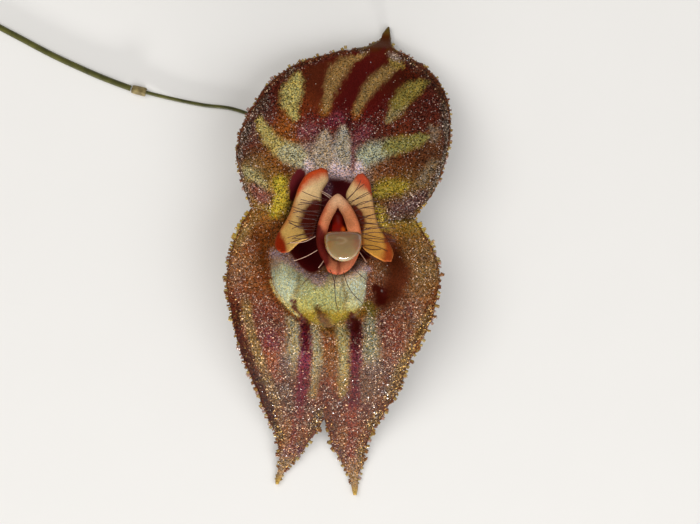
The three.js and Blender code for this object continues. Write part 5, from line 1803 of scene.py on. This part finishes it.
def pairedHairs(rng, rows, side, lift):
    # two hairs from each place along one blade, pointing away from the column
    lines = []
    for height, x, y, length, lean in rows:
        for _ in range(2):
            reach = length * rng.uniform(0.7, 1.15)
            swing = lean + rng.normal(0, 0.1)
            root = (x, y + rng.normal(0, 0.04), height)
            tipX = x + side * reach * math.cos(swing)
            tipY = y + lift + reach * math.sin(swing)
            tip = (tipX, tipY, height + rng.uniform(0.05, 0.3))
            lines.append(hairLine(root, tip, rng.uniform(0.0, 0.12), rng.uniform(-0.12, 0.12)))
    return lines


def buildHairs():
    rng = np.random.default_rng(101)
    dark = pairedHairs(rng, leftHairs, -1, hairs["leftLift"]) + pairedHairs(rng, rightHairs, 1, 0.0)
    dark += [hairLine(root, tip, 0.08, sag, 2.3) for root, tip, sag in lowerHairs]
    pale = [hairLine(root, tip, 0.05, sag, 0.8) for root, tip, sag in paleHairs]
    for name, lines, material in (("lipHairs", dark, hairSkin), ("lipHairsPale", pale, paleHairSkin)):
        piece = grow(name, strands, strandCarrier(lines), material, Radius=hairs["radius"] * mm, Sides=6)
        settle(piece, "lip")


buildHairs()
print("hairs grown")


# Floor, light and camera

studio = {
    "floorSize": 160.0,
    "floorColor": (0.74, 0.73, 0.71),
    "worldStrength": 0.27,
    "lightAim": (0.3, -0.8, 2.0),
    "lights": [  # name, place, width, power, colour, height of an oval one, seen in gloss
        ("keyLight", (-70, 30, 170), 150, 0.21, (1.0, 0.98, 0.95), None, False),
        ("fillLight", (80, -80, 150), 150, 0.155, (0.99, 0.99, 1.0), None, False),
        ("lowStrip", (4, -120, 20), 90, 0.17, (1.0, 0.99, 0.97), 12, True),
    ],
    "viewCentre": (0.384, -1.216),
    "viewWidth": 22.4,
    "lens": 200.0,
}


def buildFloor():
    half = studio["floorSize"] / 2
    material, nodes, links, shader = newMaterial("paleFloor", Roughness=0.75, Specular_IOR_Level=0.2)
    noise = noiseNode(nodes, links, 400, 4.0, 0.6)
    ramp = nodes.new("ShaderNodeValToRGB")
    color = np.array(studio["floorColor"])
    ramp.color_ramp.elements[0].color = (*(color * 0.98), 1)
    ramp.color_ramp.elements[1].color = (*color, 1)
    links.new(noise.outputs["Fac"], ramp.inputs["Fac"])
    links.new(ramp.outputs[0], shader.inputs["Base Color"])
    corners = [(-half, -half, 0), (half, -half, 0), (half, half, 0), (-half, half, 0)]
    floor = makePiece("studioFloor", corners, [(0, 1, 2, 3)], material, shadeSmooth=False)


def areaLight(name, place, size, power, color, sizeY, glossy):
    light = bpy.data.lights.new(name, "AREA")
    light.energy = power
    light.size = size * mm
    if sizeY:
        light.shape = "ELLIPSE"
        light.size_y = sizeY * mm
    light.color = color
    lamp = bpy.data.objects.new(name, light)
    lamp.location = Vector(place) * mm
    aim = Vector(studio["lightAim"]) * mm - lamp.location
    lamp.rotation_euler = aim.to_track_quat("-Z", "Y").to_euler()
    lamp.visible_glossy = glossy
    bpy.context.scene.collection.objects.link(lamp)


def buildLights():
    for light in studio["lights"]:
        areaLight(*light)
    world = bpy.data.worlds.new("studioWorld")
    world.use_nodes = True
    background = world.node_tree.nodes["Background"]
    background.inputs["Color"].default_value = (1.0, 0.99, 0.98, 1)
    background.inputs["Strength"].default_value = studio["worldStrength"]
    bpy.context.scene.world = world


def buildCamera():
    camera = bpy.data.cameras.new("camera")
    camera.lens = studio["lens"]
    camera.sensor_width = 36.0
    camera.clip_start = 0.01
    camera.clip_end = 10.0
    distance = studio["viewWidth"] * studio["lens"] / camera.sensor_width
    holder = bpy.data.objects.new("camera", camera)
    x, y = studio["viewCentre"]
    holder.location = Vector((x, y, distance + sepalShape["faceLevel"])) * mm
    bpy.context.scene.collection.objects.link(holder)
    bpy.context.scene.camera = holder
    bpy.context.scene.view_settings.view_transform = "Standard"


buildFloor()
buildLights()
buildCamera()
print("studio ready")
